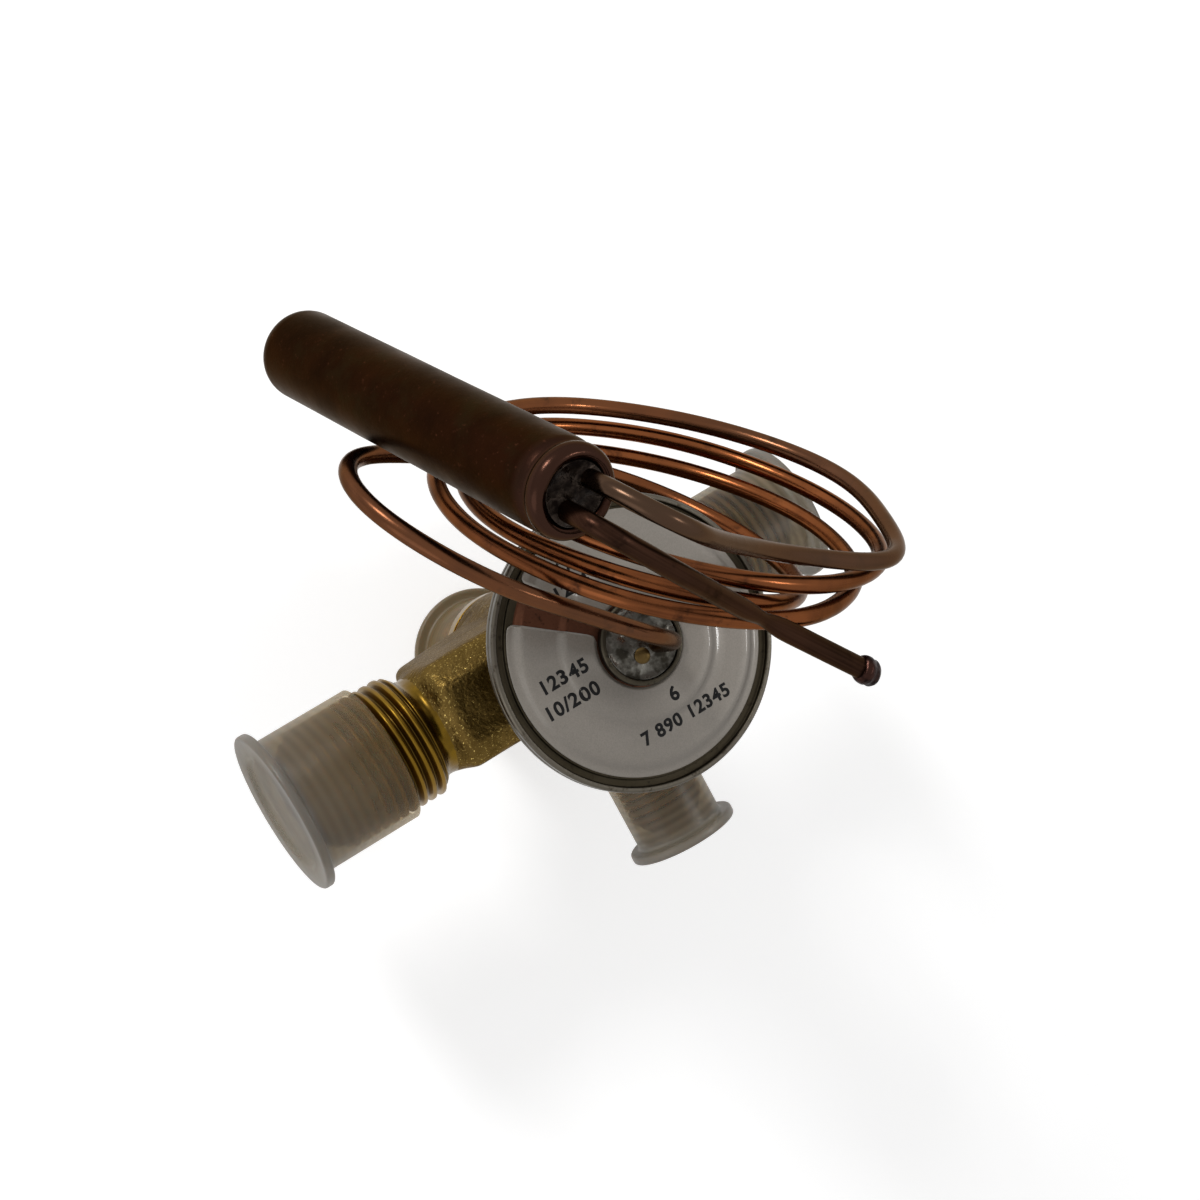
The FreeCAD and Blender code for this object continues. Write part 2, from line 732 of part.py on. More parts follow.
nut = doc.addObject("PartDesign::Body", "spring_seat")
lugs = new_sketch(nut, "lugs_outline", "XY_Plane")
draw_outline(lugs, [
    ("-lug_width / 2", "-lug_radius"),
    ("lug_width / 2", "-lug_radius"),
    ("lug_width / 2", "lug_radius"),
    ("-lug_width / 2", "lug_radius"),
])
lug_pad = nut.newObject("PartDesign::Pad", "lugs")
lug_pad.Profile = lugs
lug_pad.Reversed = True
lug_pad.setExpression("Length", bound("nut_thickness"))
turn(nut, "nut_disc", [
    ("0", "-nut_thickness"), ("nut_radius", "-nut_thickness"),
    ("nut_radius", "0"), ("0", "0"),
])
turn(nut, "nut_bore", [
    ("0", "-nut_thickness - 1"), ("stem_radius + fit", "-nut_thickness - 1"),
    ("stem_radius + fit", "1"), ("0", "1"),
], cut=True)
keep(seat(nut, rise="line_height - nut_top"), "spring_seat")


# Adjusting stem and gland

stem = doc.addObject("PartDesign::Body", "adjusting_stem")
turn(stem, "stem_turned", [
    ("0", "stem_square_length"),
    ("stem_radius", "stem_square_length"),
    ("stem_radius", "stem_end - gland_shoulder"),
    ("stem_collar_radius", "stem_end - gland_shoulder"),
    ("stem_collar_radius", "stem_end - gland_shoulder + stem_collar"),
    ("stem_radius", "stem_end - gland_shoulder + stem_collar"),
    ("stem_radius", "stem_end - stem_top - 0.5"),
    ("stem_radius - 0.5", "stem_end - stem_top"),
    ("0", "stem_end - stem_top"),
])
square = new_sketch(stem, "square_outline", "XY_Plane")
draw_outline(square, [
    ("-stem_square / 2", "-stem_square / 2"),
    ("stem_square / 2", "-stem_square / 2"),
    ("stem_square / 2", "stem_square / 2"),
    ("-stem_square / 2", "stem_square / 2"),
])
square_pad = stem.newObject("PartDesign::Pad", "stem_square_end")
square_pad.Profile = square
square_pad.setExpression("Length", bound("stem_square_length + 0.5"))
keep(seat(stem, rise="line_height - stem_end"), "adjusting_stem")

gland = doc.addObject("PartDesign::Body", "stem_gland")
turn(gland, "gland_turned", [
    ("gland_inner_radius", "-gland_bore_top - 0.3"),
    ("gland_bore_radius - fit", "-gland_bore_top - 0.3"),
    ("gland_bore_radius - fit", "-column_bottom - gasket_thickness"),
    ("gland_flange_radius", "-column_bottom - gasket_thickness"),
    ("gland_flange_radius", "-column_bottom - gasket_thickness - gland_flange"),
    ("inlet_thread_radius - 0.9", "-column_bottom - gasket_thickness - gland_flange"),
    ("inlet_thread_radius - 0.9", "-column_bottom - gasket_thickness - gland_flange - gland_relief"),
    ("inlet_thread_radius", "-column_bottom - gasket_thickness - gland_flange - gland_relief - 0.6"),
    ("inlet_thread_radius", "-gland_end + thread_chamfer"),
    ("inlet_thread_radius - thread_chamfer", "-gland_end"),
    ("stem_radius + fit", "-gland_end"),
    ("stem_radius + fit", "-packing_top - packing_thickness"),
    ("packing_radius", "-packing_top - packing_thickness"),
    ("packing_radius", "-packing_top"),
    ("stem_radius + fit", "-packing_top"),
    ("stem_radius + fit", "-gland_shoulder"),
    ("stem_collar_radius + 0.15", "-gland_shoulder"),
    ("stem_collar_radius + 0.15", "-gland_floor"),
    ("gland_inner_radius", "-gland_floor"),
])
slots = new_sketch(gland, "slots_outline", "XY_Plane")
draw_outline(slots, [
    ("-lug_width / 2 - fit", "-lug_radius - fit"),
    ("lug_width / 2 + fit", "-lug_radius - fit"),
    ("lug_width / 2 + fit", "lug_radius + fit"),
    ("-lug_width / 2 - fit", "lug_radius + fit"),
])
slot_cut = gland.newObject("PartDesign::Pocket", "slots")
slot_cut.Profile = slots
slot_cut.setExpression("Length", bound("gland_floor"))
keep(seat(gland), "stem_gland")

turned_piece("stem_packing", [
    ("stem_radius + fit / 2", "-packing_top - packing_thickness + fit"),
    ("packing_radius - fit / 2", "-packing_top - packing_thickness + fit"),
    ("packing_radius - fit / 2", "-packing_top - fit"),
    ("stem_radius + fit / 2", "-packing_top - fit"),
])

turned_piece("gland_gasket", [
    ("gland_bore_radius + fit", "-column_bottom - gasket_thickness"),
    ("gasket_radius", "-column_bottom - gasket_thickness"),
    ("gasket_radius", "-column_bottom"),
    ("gland_bore_radius + fit", "-column_bottom"),
])

turned_piece("inlet_strainer", [
    ("0", "inlet_bore_end - strainer_length"),
    ("strainer_tip_radius", "inlet_bore_end - strainer_length"),
    ("strainer_radius", "inlet_bore_end"),
    ("inlet_bore_radius - fit", "inlet_bore_end"),
    ("inlet_bore_radius - fit", "inlet_bore_end + strainer_collar"),
    ("strainer_radius - strainer_wall", "inlet_bore_end + strainer_collar"),
    ("strainer_radius - strainer_wall", "inlet_bore_end"),
    ("strainer_tip_radius - strainer_wall", "inlet_bore_end - strainer_length + strainer_wall"),
    ("0", "inlet_bore_end - strainer_length + strainer_wall"),
], along="X")


# Plastic caps

def make_cap(label, along, face, thread, flange, length, rise="line_height", dished=True):
    """A push-on cap over an end's thread, closed and flanged at its outer end."""
    inner = thread + " + cap_grip"
    end = [
        (thread + " - 0.6", face),
        (thread + " - 1.4", face + " - cap_dish"),
        ("0", face + " - cap_dish"),
    ]
    return turned_piece(label, [
        ("0", face + " - cap_end"),
        (inner, face + " - cap_end"),
        (inner, face + " - " + length + " + 0.6"),
        (inner + " + 0.3", face + " - " + length),
        (inner + " + cap_wall", face + " - " + length),
        (inner + " + cap_wall", face + " - cap_flange"),
        (flange + " - 0.2", face + " - cap_flange"),
        (flange, face + " - cap_flange + 0.2"),
        (flange, face + " - 0.3"),
        (flange + " - 0.3", face),
    ] + (end if dished else [("0", face)]), along, rise)


make_cap("outlet_cap", "-X", "outlet_reach + cap_end_gap + cap_end", "outlet_thread_radius",
         "outlet_flange_radius", "outlet_cap_length")
make_cap("inlet_cap", "X", "inlet_reach + cap_end_gap + cap_end", "inlet_thread_radius",
         "inlet_flange_radius", "inlet_cap_length")
make_cap("equalizer_cap", "-Y", "equalizer_reach + cap_end_gap + cap_end", "equalizer_thread_radius",
         "equalizer_flange_radius", "equalizer_cap_length", rise="line_height + equalizer_rise")
make_cap("stem_cap", "-Z", "line_height", "inlet_thread_radius",
         "stem_flange_radius", "stem_cap_length", dished=False)


# Sensing bulb

azimuth = math.radians(number("bulb_azimuth"))
rise = math.radians(number("bulb_rise"))
BULB_AXIS = Vector(math.cos(rise) * math.cos(azimuth), math.cos(rise) * math.sin(azimuth), math.sin(rise))
BULB_FOOT = Vector(number("bulb_x"), number("bulb_y"), number("bulb_z"))
SIDE_U = BULB_AXIS.cross(Vector(0, 0, 1)).normalize()
SIDE_W = BULB_AXIS.cross(SIDE_U)


def in_bulb(along, u=0.0, w=0.0):
    """The point at a distance along the bulb's axis and to its sides."""
    return BULB_FOOT + BULB_AXIS * along + SIDE_U * u + SIDE_W * w


def place_on_bulb(body):
    """Puts a piece drawn along Z onto the bulb's axis."""
    turned = Rotation(SIDE_U, Vector(), BULB_AXIS, "ZXY")
    body.Placement = Placement(Vector(), turned)
    body.setExpression("Placement.Base.x", bound("bulb_x"))
    body.setExpression("Placement.Base.y", bound("bulb_y"))
    body.setExpression("Placement.Base.z", bound("bulb_z + line_height"))
    return body


bulb = doc.addObject("PartDesign::Body", "sensing_bulb")
tube_turned = turn(bulb, "bulb_turned", [
    ("0", "0"),
    ("bulb_radius", "0"),
    ("bulb_radius", "bulb_groove_place - bulb_groove_width / 2"),
    ("bulb_radius - bulb_groove", "bulb_groove_place - bulb_groove_width / 4"),
    ("bulb_radius - bulb_groove", "bulb_groove_place + bulb_groove_width / 4"),
    ("bulb_radius - 0.1", "bulb_groove_place + bulb_groove_width / 2"),
    ("bulb_radius - 0.1", "bulb_length"),
    ("bulb_mouth_radius", "bulb_length"),
    ("bulb_mouth_radius", "bulb_length - bulb_mouth_depth"),
    ("0", "bulb_length - bulb_mouth_depth"),
])
doc.recompute()
dome = bulb.newObject("PartDesign::Fillet", "bulb_dome")
dome.Base = (tube_turned, ring_edges(tube_turned.Shape, number("bulb_radius"), 0.0))
dome.setExpression("Radius", bound("bulb_dome_radius"))
bulb.Tip = dome
doc.recompute()
swage = bulb.newObject("PartDesign::Fillet", "bulb_swage")
swage.Base = (dome, ring_edges(dome.Shape, number("bulb_radius - 0.1"), number("bulb_length")))
swage.setExpression("Radius", bound("bulb_shoulder_radius"))
bulb.Tip = swage
keep(place_on_bulb(bulb), "sensing_bulb")


# Tubes

def tube_path(points):
    """A wire of straight runs through the points, with an arc at each bend that meets both runs."""
    bends = []
    for before, here, after in zip(points, points[1:], points[2:]):
        back = before - here
        ahead = after - here
        turn_angle = math.pi - back.getAngle(ahead)
        run = min(back.Length, ahead.Length)
        half = turn_angle / 2
        radius = 0.45 * run / math.tan(half)
        cut = 0.45 * run
        back.normalize()
        ahead.normalize()
        bisector = (back + ahead).normalize()
        middle = here + bisector * (radius / math.cos(half) - radius)
        bends.append((here + back * cut, middle, here + ahead * cut, radius))
    edges = []
    start = points[0]
    for entry, middle, leave, radius in bends:
        edges.append(Part.LineSegment(start, entry).toShape())
        edges.append(Part.Arc(entry, middle, leave).toShape())
        start = leave
    edges.append(Part.LineSegment(start, points[-1]).toShape())
    return edges, min(radius for entry, middle, leave, radius in bends)


def round_tube(points, radius):
    """A round solid swept along the path through the points."""
    edges, tightest = tube_path(points)
    section = Part.Wire(Part.makeCircle(radius, points[0], points[1] - points[0]))
    tube = Part.Wire(edges).makePipeShell([section], True, False)
    length = sum(edge.Length for edge in edges)
    print("tube length", round(length, 1), "tightest bend", round(tightest, 1),
          "volume over section times length", round(tube.Volume / (math.pi * radius ** 2 * length), 4))
    return tube


# Half-turns of the loose coil, in the order they are wound. Each row gives the reach of its
# start along the coil's long way, the reach of its middle across, and how far its start and
# its middle stand out of the coil's plane. The turns were bent by hand, so no two agree.
HALF_TURNS = [
    (-21.6, 22.4, 0.5, -2.7),
    (21.6, -32.1, -5.4, -0.1),
    (-23.3, 27.8, -3.9, -1.2),
    (29.0, -34.3, 0.2, -3.3),
    (-27.6, 28.6, -4.3, 3.0),
    (33.0, -29.8, 2.4, 0.6),
    (-25.6, 27.3, 1.8, 5.9),
    (33.9, 0.0, 7.0, 0.0),
]


def coil_points():
    """Corners of the coil's path, four to each half-turn, pushed out so that the arcs meet the turns."""
    lean = math.radians(number("coil_rise"))
    facing = math.radians(number("coil_azimuth"))
    longways = Vector(math.sin(facing), -math.cos(facing), 0)
    across = Vector(math.cos(facing) * math.sin(lean), math.sin(facing) * math.sin(lean), -math.cos(lean))
    outward = Vector(math.cos(facing) * math.cos(lean), math.sin(facing) * math.cos(lean), math.sin(lean))
    centre = Vector(number("coil_x"), number("coil_y"), number("coil_z"))
    push = 1 / math.cos(math.radians(22.5))
    points = []
    for row, following in zip(HALF_TURNS, HALF_TURNS[1:]):
        middle = (row[0] + following[0]) / 2
        half = (row[0] - following[0]) / 2
        for angle in (22.5, 67.5, 112.5, 157.5):
            part = angle / 90
            if part < 1:
                out = row[2] + (row[3] - row[2]) * part
            else:
                out = row[3] + (following[2] - row[3]) * (part - 1)
            along = middle + half * math.cos(math.radians(angle)) * push
            aside = row[1] * math.sin(math.radians(angle)) * push
            points.append(centre + longways * along + across * aside + outward * out)
    return points


def capillary_points():
    """The capillary from the boss through the coil to the bulb."""
    foot = Vector(number("foot_x"), number("foot_y"), number(DECK + " - case_wall"))
    lead_in = [
        foot,
        Vector(foot.x, foot.y, 43.0),
        Vector(-4.7, 3.0, 52.8),
        Vector(-23.5, 21.1, 59.4),
        Vector(-30.7, 36.4, 53.4),
        Vector(-25.9, 41.7, 41.3),
    ]
    u = number("tube_offset_u")
    w = number("tube_offset_w")
    length = number("bulb_length")
    lead_out = [
        Vector(30.2, -6.9, 56.7),
        Vector(14.2, 3.3, 62.0),
        Vector(5.3, 8.9, 70.5),
        in_bulb(length + 6.7, -10.3, 12.6),
        in_bulb(length + 10.3, -6.4, 6.3),
        in_bulb(length + 9.7, -4.4, 3.1),
        in_bulb(length + 7.6, -3.0, 0.7),
        in_bulb(length + 4.6, u, w),
        in_bulb(length - number("bulb_mouth_depth"), u, w),
    ]
    return lead_in + coil_points() + lead_out


shape_piece("capillary_tube", round_tube(capillary_points(), number("tube_radius")))


def make_charge_tube():
    """The bulb's filling tube, round at first, then squeezed to an oval that runs to its tip."""
    u = number("charge_offset_u")
    w = number("charge_offset_w")
    length = number("bulb_length")
    points = [
        in_bulb(length - number("bulb_mouth_depth"), u, w),
        in_bulb(length + 6.5, u, w),
        in_bulb(length + 7.9, -3.6, 11.6),
        in_bulb(length + 4.2, -11.5, 26.3),
    ]
    radius = number("charge_radius")
    tube = round_tube(points, radius)
    pinch = points[-1]
    tip = in_bulb(length + 3.2, -23.8, 47.7)
    onward = (tip - pinch).normalize()
    bend = (points[-1] - points[-2]).normalize()
    flatwise = onward.cross(Vector(0, 0, 1)).normalize()
    round_end = Part.Wire(Part.makeCircle(radius, pinch, bend))
    oval_centre = pinch + onward * number("charge_pinch_length")
    oval = Part.Ellipse(Vector(), number("charge_flat_width"), number("charge_flat"))
    turned = Rotation(flatwise, Vector(), onward, "ZXY")
    oval_wire = Part.Wire(oval.toShape())
    oval_wire.Placement = Placement(oval_centre, turned)
    squeeze = Part.makeLoft([round_end, oval_wire], True)
    flat = Part.Face(oval_wire).extrude(tip - oval_centre)
    return tube, squeeze, flat, oval_wire, tip, onward, turned


tube, squeeze, flat, oval_wire, tip, onward, turned = make_charge_tube()
shape_piece("charge_tube", tube.fuse([squeeze, flat]).removeSplitter())


def make_charge_seal():
    """The brazed blob that closes the tip of the charge tube."""
    length = number("seal_length")
    radius = number("seal_radius")
    back = tip - onward * (length * 0.45)
    blob = Part.makeCylinder(radius, length, back, onward)
    front = [edge for edge in blob.Edges if (edge.CenterOfMass - back).dot(onward) > length - 0.01]
    rear = [edge for edge in blob.Edges if (edge.CenterOfMass - back).dot(onward) < 0.01 and edge.Closed]
    blob = blob.makeFillet(radius * 0.7, front)
    inside = oval_wire.copy()
    inside.Placement = Placement(tip - onward * (length + 1), turned)
    return blob.cut(Part.Face(inside).extrude(onward * (length + 1)))


shape_piece("charge_seal", make_charge_seal())

braze = doc.addObject("PartDesign::Body", "bulb_braze")
turn(braze, "braze_fill", [
    ("0", "bulb_length - bulb_mouth_depth"),
    ("bulb_mouth_radius - fit", "bulb_length - bulb_mouth_depth"),
    ("bulb_mouth_radius - fit", "bulb_length - 0.5"),
    ("0", "bulb_length - 0.2"),
])
drill_through(braze, "braze_holes", [
    ("tube_offset_u", "tube_offset_w", "tube_radius + fit"),
    ("charge_offset_u", "charge_offset_w", "charge_radius + fit"),
])
keep(place_on_bulb(braze), "bulb_braze")

doc.recompute()

# Checks and export
os.makedirs("parts", exist_ok=True)
for piece in doc.Objects:
    if "Invalid" in piece.State or "Error" in piece.State:
        raise RuntimeError("not solved: " + piece.Label)
total = 0.0
for piece in subparts:
    shape = piece.Shape
    if shape.isNull() or not shape.isValid() or not shape.Solids:
        raise RuntimeError("bad shape: " + piece.Label)
    total += shape.Volume
    shape.exportStep("parts/%s.step" % piece.Label)
    box = shape.BoundBox
    print("%-18s solids %d volume %9.1f  x %6.1f..%6.1f y %6.1f..%6.1f z %6.1f..%6.1f" % (
        piece.Label, len(shape.Solids), shape.Volume, box.XMin, box.XMax, box.YMin, box.YMax, box.ZMin, box.ZMax))
print("sub-parts", len(subparts), "volume", round(total, 1))
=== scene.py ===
import math

import bmesh
import bpy
import numpy as np
from bpy.props import FloatProperty, FloatVectorProperty, IntProperty, PointerProperty
from mathutils import Matrix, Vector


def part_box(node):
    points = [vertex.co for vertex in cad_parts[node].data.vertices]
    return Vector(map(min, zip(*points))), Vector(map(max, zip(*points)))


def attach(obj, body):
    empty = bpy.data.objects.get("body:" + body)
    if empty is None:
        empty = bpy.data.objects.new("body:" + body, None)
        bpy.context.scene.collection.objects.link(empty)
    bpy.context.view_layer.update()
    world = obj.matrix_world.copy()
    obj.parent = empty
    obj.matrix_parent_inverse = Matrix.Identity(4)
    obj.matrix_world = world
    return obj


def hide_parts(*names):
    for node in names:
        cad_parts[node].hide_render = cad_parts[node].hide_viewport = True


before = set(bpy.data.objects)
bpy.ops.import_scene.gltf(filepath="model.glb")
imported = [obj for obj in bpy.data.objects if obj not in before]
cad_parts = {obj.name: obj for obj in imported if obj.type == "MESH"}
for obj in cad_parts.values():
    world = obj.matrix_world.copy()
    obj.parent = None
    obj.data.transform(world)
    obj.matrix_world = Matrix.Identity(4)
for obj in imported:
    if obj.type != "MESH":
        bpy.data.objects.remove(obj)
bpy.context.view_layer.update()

bl_info = {
    "name": "Expansion valve",
    "version": (1, 0, 0),
    "blender": (4, 5, 0),
    "location": "3D View > Sidebar > Valve",
    "description": "Builds the looks of an expansion valve with its sensing bulb and coiled capillary",
    "category": "Object",
}

MM = 0.001
PORT_HEIGHT = (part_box("outlet_cap")[0].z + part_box("outlet_cap")[1].z) / 2
# The point where the ports' middle line crosses the valve's upright axis; heights below are over it
PORT_CENTRE = (0, 0, PORT_HEIGHT / MM)

# Unified threads for flare nuts: major radius in mm by the tube's size, and depth over pitch
HALF_INCH = 9.525
THREE_EIGHTHS = 7.9375
QUARTER_INCH = 5.556
THREAD_DEPTH = 0.6134
# Height of the equaliser's branch over the ports
BRANCH_RISE = 11.4
# Radius at which a turned profile stops short of its axis; a fan of faces closes the rest
HUB = 0.001


# Colour and material tools

def linear(code):
    """Linear red, green, blue and alpha of an sRGB hex colour."""
    parts = np.array([int(code[k:k + 2], 16) / 255 for k in (1, 3, 5)])
    parts = np.where(parts <= 0.04045, parts / 12.92, ((parts + 0.055) / 1.055) ** 2.4)
    return tuple(float(part) for part in parts) + (1.0,)


def add(tree, kind, links=None, stops=None, **settings):
    """Adds a node: links gives each input a value or another node's output, stops are a ramp's."""
    node = tree.nodes.new("ShaderNode" + kind)
    for name, value in settings.items():
        setattr(node, name, value)
    if stops:
        ramp = node.color_ramp
        while len(ramp.elements) < len(stops):
            ramp.elements.new(0.5)
        for element, (place, colour) in zip(ramp.elements, stops):
            element.position = place
            element.color = colour
    for name, value in (links or {}).items():
        if isinstance(value, bpy.types.NodeSocket):
            tree.links.new(value, node.inputs[name])
        else:
            node.inputs[name].default_value = value
    return node


def start_material(name, **sockets):
    """A new material with its Principled shader, whose constant sockets are given by name."""
    material = bpy.data.materials.new(name)
    material.use_nodes = True
    tree = material.node_tree
    tree.nodes.clear()
    shader = add(tree, "BsdfPrincipled", {key.replace("_", " "): value for key, value in sockets.items()})
    add(tree, "OutputMaterial", {"Surface": shader.outputs[0]})
    return material, tree, shader


def grey(level):
    """A ramp colour that carries a plain number."""
    return (level, level, level, 1.0)


def spots(tree, vector, size_mm, detail=3.0, rough=0.55, low=0.35, high=0.65):
    """Noise whose patches are size_mm across, stretched to run from 0 to 1."""
    noise = add(tree, "TexNoise", {"Vector": vector, "Scale": 1 / (size_mm * MM * 2.0), "Detail": detail,
                                   "Roughness": rough})
    spread = add(tree, "MapRange", {"Value": noise.outputs["Fac"], "From Min": low, "From Max": high})
    return spread.outputs[0]


def blend_colours(tree, factor, first, second):
    """The second colour over the first by a factor; each is an sRGB hex code or another node's output."""
    first, second = [linear(tone) if isinstance(tone, str) else tone for tone in (first, second)]
    mix = add(tree, "Mix", {0: factor, 6: first, 7: second}, data_type="RGBA")
    return mix.outputs[2]


def paint(tree, shader, tone):
    """Links a tone to the shader's colour."""
    tree.links.new(tone, shader.inputs["Base Color"])


def vary_roughness(tree, shader, factor, low, high):
    """Roughness that runs from low to high with a factor."""
    spread = add(tree, "MapRange", {"Value": factor, "To Min": low, "To Max": high})
    tree.links.new(spread.outputs[0], shader.inputs["Roughness"])


def output_of(tree):
    """The output node of a material."""
    return [item for item in tree.nodes if item.type == "OUTPUT_MATERIAL"][0]


def raise_surface(tree, shader, height, depth_mm, under=None):
    """Bump whose full height is depth_mm, over an earlier bump if one is given."""
    links = {"Height": height, "Strength": 1.0, "Distance": depth_mm * MM}
    if under:
        links["Normal"] = under
    bump = add(tree, "Bump", links)
    tree.links.new(bump.outputs[0], shader.inputs["Normal"])
    return bump.outputs[0]


# Mesh tools

def new_object(name, verts, faces, loop_uv=None):
    """A mesh object at the origin whose faces all point outwards, with a UV map if one is given."""
    corners = verts[np.array([face[:3] for face in faces])]
    volume = np.einsum("ij,ij->i", corners[:, 0], np.cross(corners[:, 1], corners[:, 2])).sum()
    if volume < 0:
        faces = [face[::-1] for face in faces]
        if loop_uv is not None:
            loop_uv = [group[::-1] for group in loop_uv]
    mesh = bpy.data.meshes.new(name)
    mesh.from_pydata(verts.tolist(), [], faces)
    if loop_uv is not None:
        layer = mesh.uv_layers.new(name="UVMap")
        layer.data.foreach_set("uv", np.concatenate(loop_uv).astype(np.float32).ravel())
    mesh.shade_smooth()
    mesh.validate()
    obj = bpy.data.objects.new(name, mesh)
    bpy.context.scene.collection.objects.link(obj)
    return obj


def grid_object(name, rows, closed=False, caps=(False, False)):
    """A surface through rows of points: each row is a ring round the shape, and the rows follow one
    another along it. closed joins the last row to the first; caps shut the ends with a fan, or with
    rungs across the ring where the cap is "rungs".
    UV: u runs once round a ring, v is the length along the shape in metres."""
    count, around = rows.shape[:2]
    verts = rows.reshape(-1, 3)
    i = np.arange(count if closed else count - 1)[:, None]
    j = np.arange(around)[None, :]
    ahead = (i + 1) % count
    beside = (j + 1) % around
    quads = np.stack([i * around + j, i * around + beside, ahead * around + beside, ahead * around + j], -1)
    steps = np.linalg.norm(np.diff(rows.mean(1), axis=0, append=rows[:1].mean(1)), axis=1)
    steps = np.maximum(steps, np.linalg.norm(np.roll(rows, -1, 0)[:, 0] - rows[:, 0], axis=1))
    along = np.concatenate([[0], np.cumsum(steps)])
    u0 = (j / around) * np.ones_like(i)
    u1 = ((j + 1) / around) * np.ones_like(i)
    v0 = along[i] * np.ones_like(j)
    v1 = along[i + 1] * np.ones_like(j)
    uv = np.stack([np.stack([u0, v0], -1), np.stack([u1, v0], -1), np.stack([u1, v1], -1),
                   np.stack([u0, v1], -1)], -2)
    faces = quads.reshape(-1, 4).tolist()
    loop_uv = list(uv.reshape(-1, 4, 2))
    extra = []
    for end, wanted in enumerate(caps):
        if not wanted:
            continue
        row = 0 if end == 0 else count - 1
        if wanted == "rungs":
            k = np.arange(around // 2 - 1)
            rung = np.stack([k, k + 1, around - 2 - k, around - 1 - k], -1) + row * around
            faces += (rung[:, ::-1] if end == 0 else rung).tolist()
            loop_uv += list(np.broadcast_to(np.array([0.5, along[row]]), (len(k), 4, 2)))
            continue
        hub = len(verts) + len(extra)
        extra.append(rows[row].mean(0))
        ring = row * around + np.arange(around)
        after = np.roll(ring, -1)
        order = (np.full(around, hub), after, ring) if end == 0 else (np.full(around, hub), ring, after)
        faces += np.stack(order, -1).tolist()
        place = np.array([0.5, along[row]])
        loop_uv += list(np.broadcast_to(place, (around, 3, 2)))
    if extra:
        verts = np.vstack([verts, extra])
    return new_object(name, verts, faces, loop_uv)


def mark(obj, name, values):
    """Keeps one number for each vertex of an object, for its material to read."""
    layer = obj.data.attributes.new(name, "FLOAT", "POINT")
    layer.data.foreach_set("value", np.ascontiguousarray(values, np.float32))


def rounded(profile, radius, steps=4, closed=True):
    """The profile with each corner cut back by radius and joined by a parabola, and with a support
    point on each side of it, so that the flats between corners shade flat."""
    points = np.array(profile, float)
    before = np.roll(points, 1, 0)
    after = np.roll(points, -1, 0)
    radius = np.broadcast_to(np.asarray(radius, float), len(points))
    back = before - points
    ahead = after - points
    back_length = np.linalg.norm(back, axis=1, keepdims=True)
    ahead_length = np.linalg.norm(ahead, axis=1, keepdims=True)
    cut = np.minimum(radius[:, None], 0.3 * np.minimum(back_length, ahead_length))
    enter = points + back / back_length * cut
    leave = points + ahead / ahead_length * cut
    t = np.linspace(0, 1, steps)[None, :, None]
    curve = (1 - t) ** 2 * enter[:, None] + 2 * t * (1 - t) * points[:, None] + t ** 2 * leave[:, None]
    first = points + back / back_length * cut * 1.5
    last = points + ahead / ahead_length * cut * 1.5
    full = np.concatenate([first[:, None], curve, last[:, None]], 1)
    if closed:
        return full.reshape(-1, 2)
    return np.vstack([points[:1], full[1:-1].reshape(-1, 2), points[-1:]])


def axes_of(direction):
    """Two unit vectors square to a direction, and the direction itself."""
    direction = np.array(direction, float) / np.linalg.norm(direction)
    helper = np.array([0.0, 0.0, 1.0]) if abs(direction[2]) < 0.9 else np.array([0.0, 1.0, 0.0])
    first = np.cross(direction, helper)
    first /= np.linalg.norm(first)
    return first, np.cross(direction, first), direction


def turned(name, profile, base=PORT_CENTRE, direction=(0, 0, 1), around=128, closed=True,
           caps=(False, False)):
    """A turned piece: base + direction * height + radius * (first cos a + second sin a), in mm, for each
    (radius, height) of the profile and each angle a."""
    first, second, axis = axes_of(direction)
    angle = np.linspace(0, 2 * math.pi, around, endpoint=False)
    profile = np.array(profile, float)
    ring = np.cos(angle)[:, None] * first + np.sin(angle)[:, None] * second
    rows = np.array(base) + profile[:, 1, None, None] * axis + profile[:, 0, None, None] * ring
    return grid_object(name, rows * MM, closed, caps)


def merged_copy(node, name):
    """A copy of a CAD node's triangles with its doubles merged, as a new object."""
    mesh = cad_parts[node].data.copy()
    mesh.name = name
    work = bmesh.new()
    work.from_mesh(mesh)
    bmesh.ops.remove_doubles(work, verts=work.verts, dist=1e-6)
    work.to_mesh(mesh)
    work.free()
    for layer in list(mesh.attributes):
        if layer.name.startswith("custom_normal"):
            mesh.attributes.remove(layer)
    obj = bpy.data.objects.new(name, mesh)
    bpy.context.scene.collection.objects.link(obj)
    return obj


def apply_modifiers(obj):
    """Makes what the modifiers give the object's own mesh."""
    bpy.context.view_layer.update()
    evaluated = obj.evaluated_get(bpy.context.evaluated_depsgraph_get())
    mesh = bpy.data.meshes.new_from_object(evaluated)
    obj.modifiers.clear()
    obj.data = mesh


def vertex_places(mesh):
    """The vertices of a mesh as one array."""
    places = np.empty(len(mesh.vertices) * 3, np.float32)
    mesh.vertices.foreach_get("co", places)
    return places.reshape(-1, 3).astype(float)


def set_places(mesh, places):
    """Puts an array of places back into a mesh."""
    mesh.vertices.foreach_set("co", places.astype(np.float32).ravel())
    mesh.update()


def face_centres(mesh):
    """The middle of each face of a mesh as one array."""
    centres = np.empty(len(mesh.polygons) * 3, np.float32)
    mesh.polygons.foreach_get("center", centres)
    return centres.reshape(-1, 3)


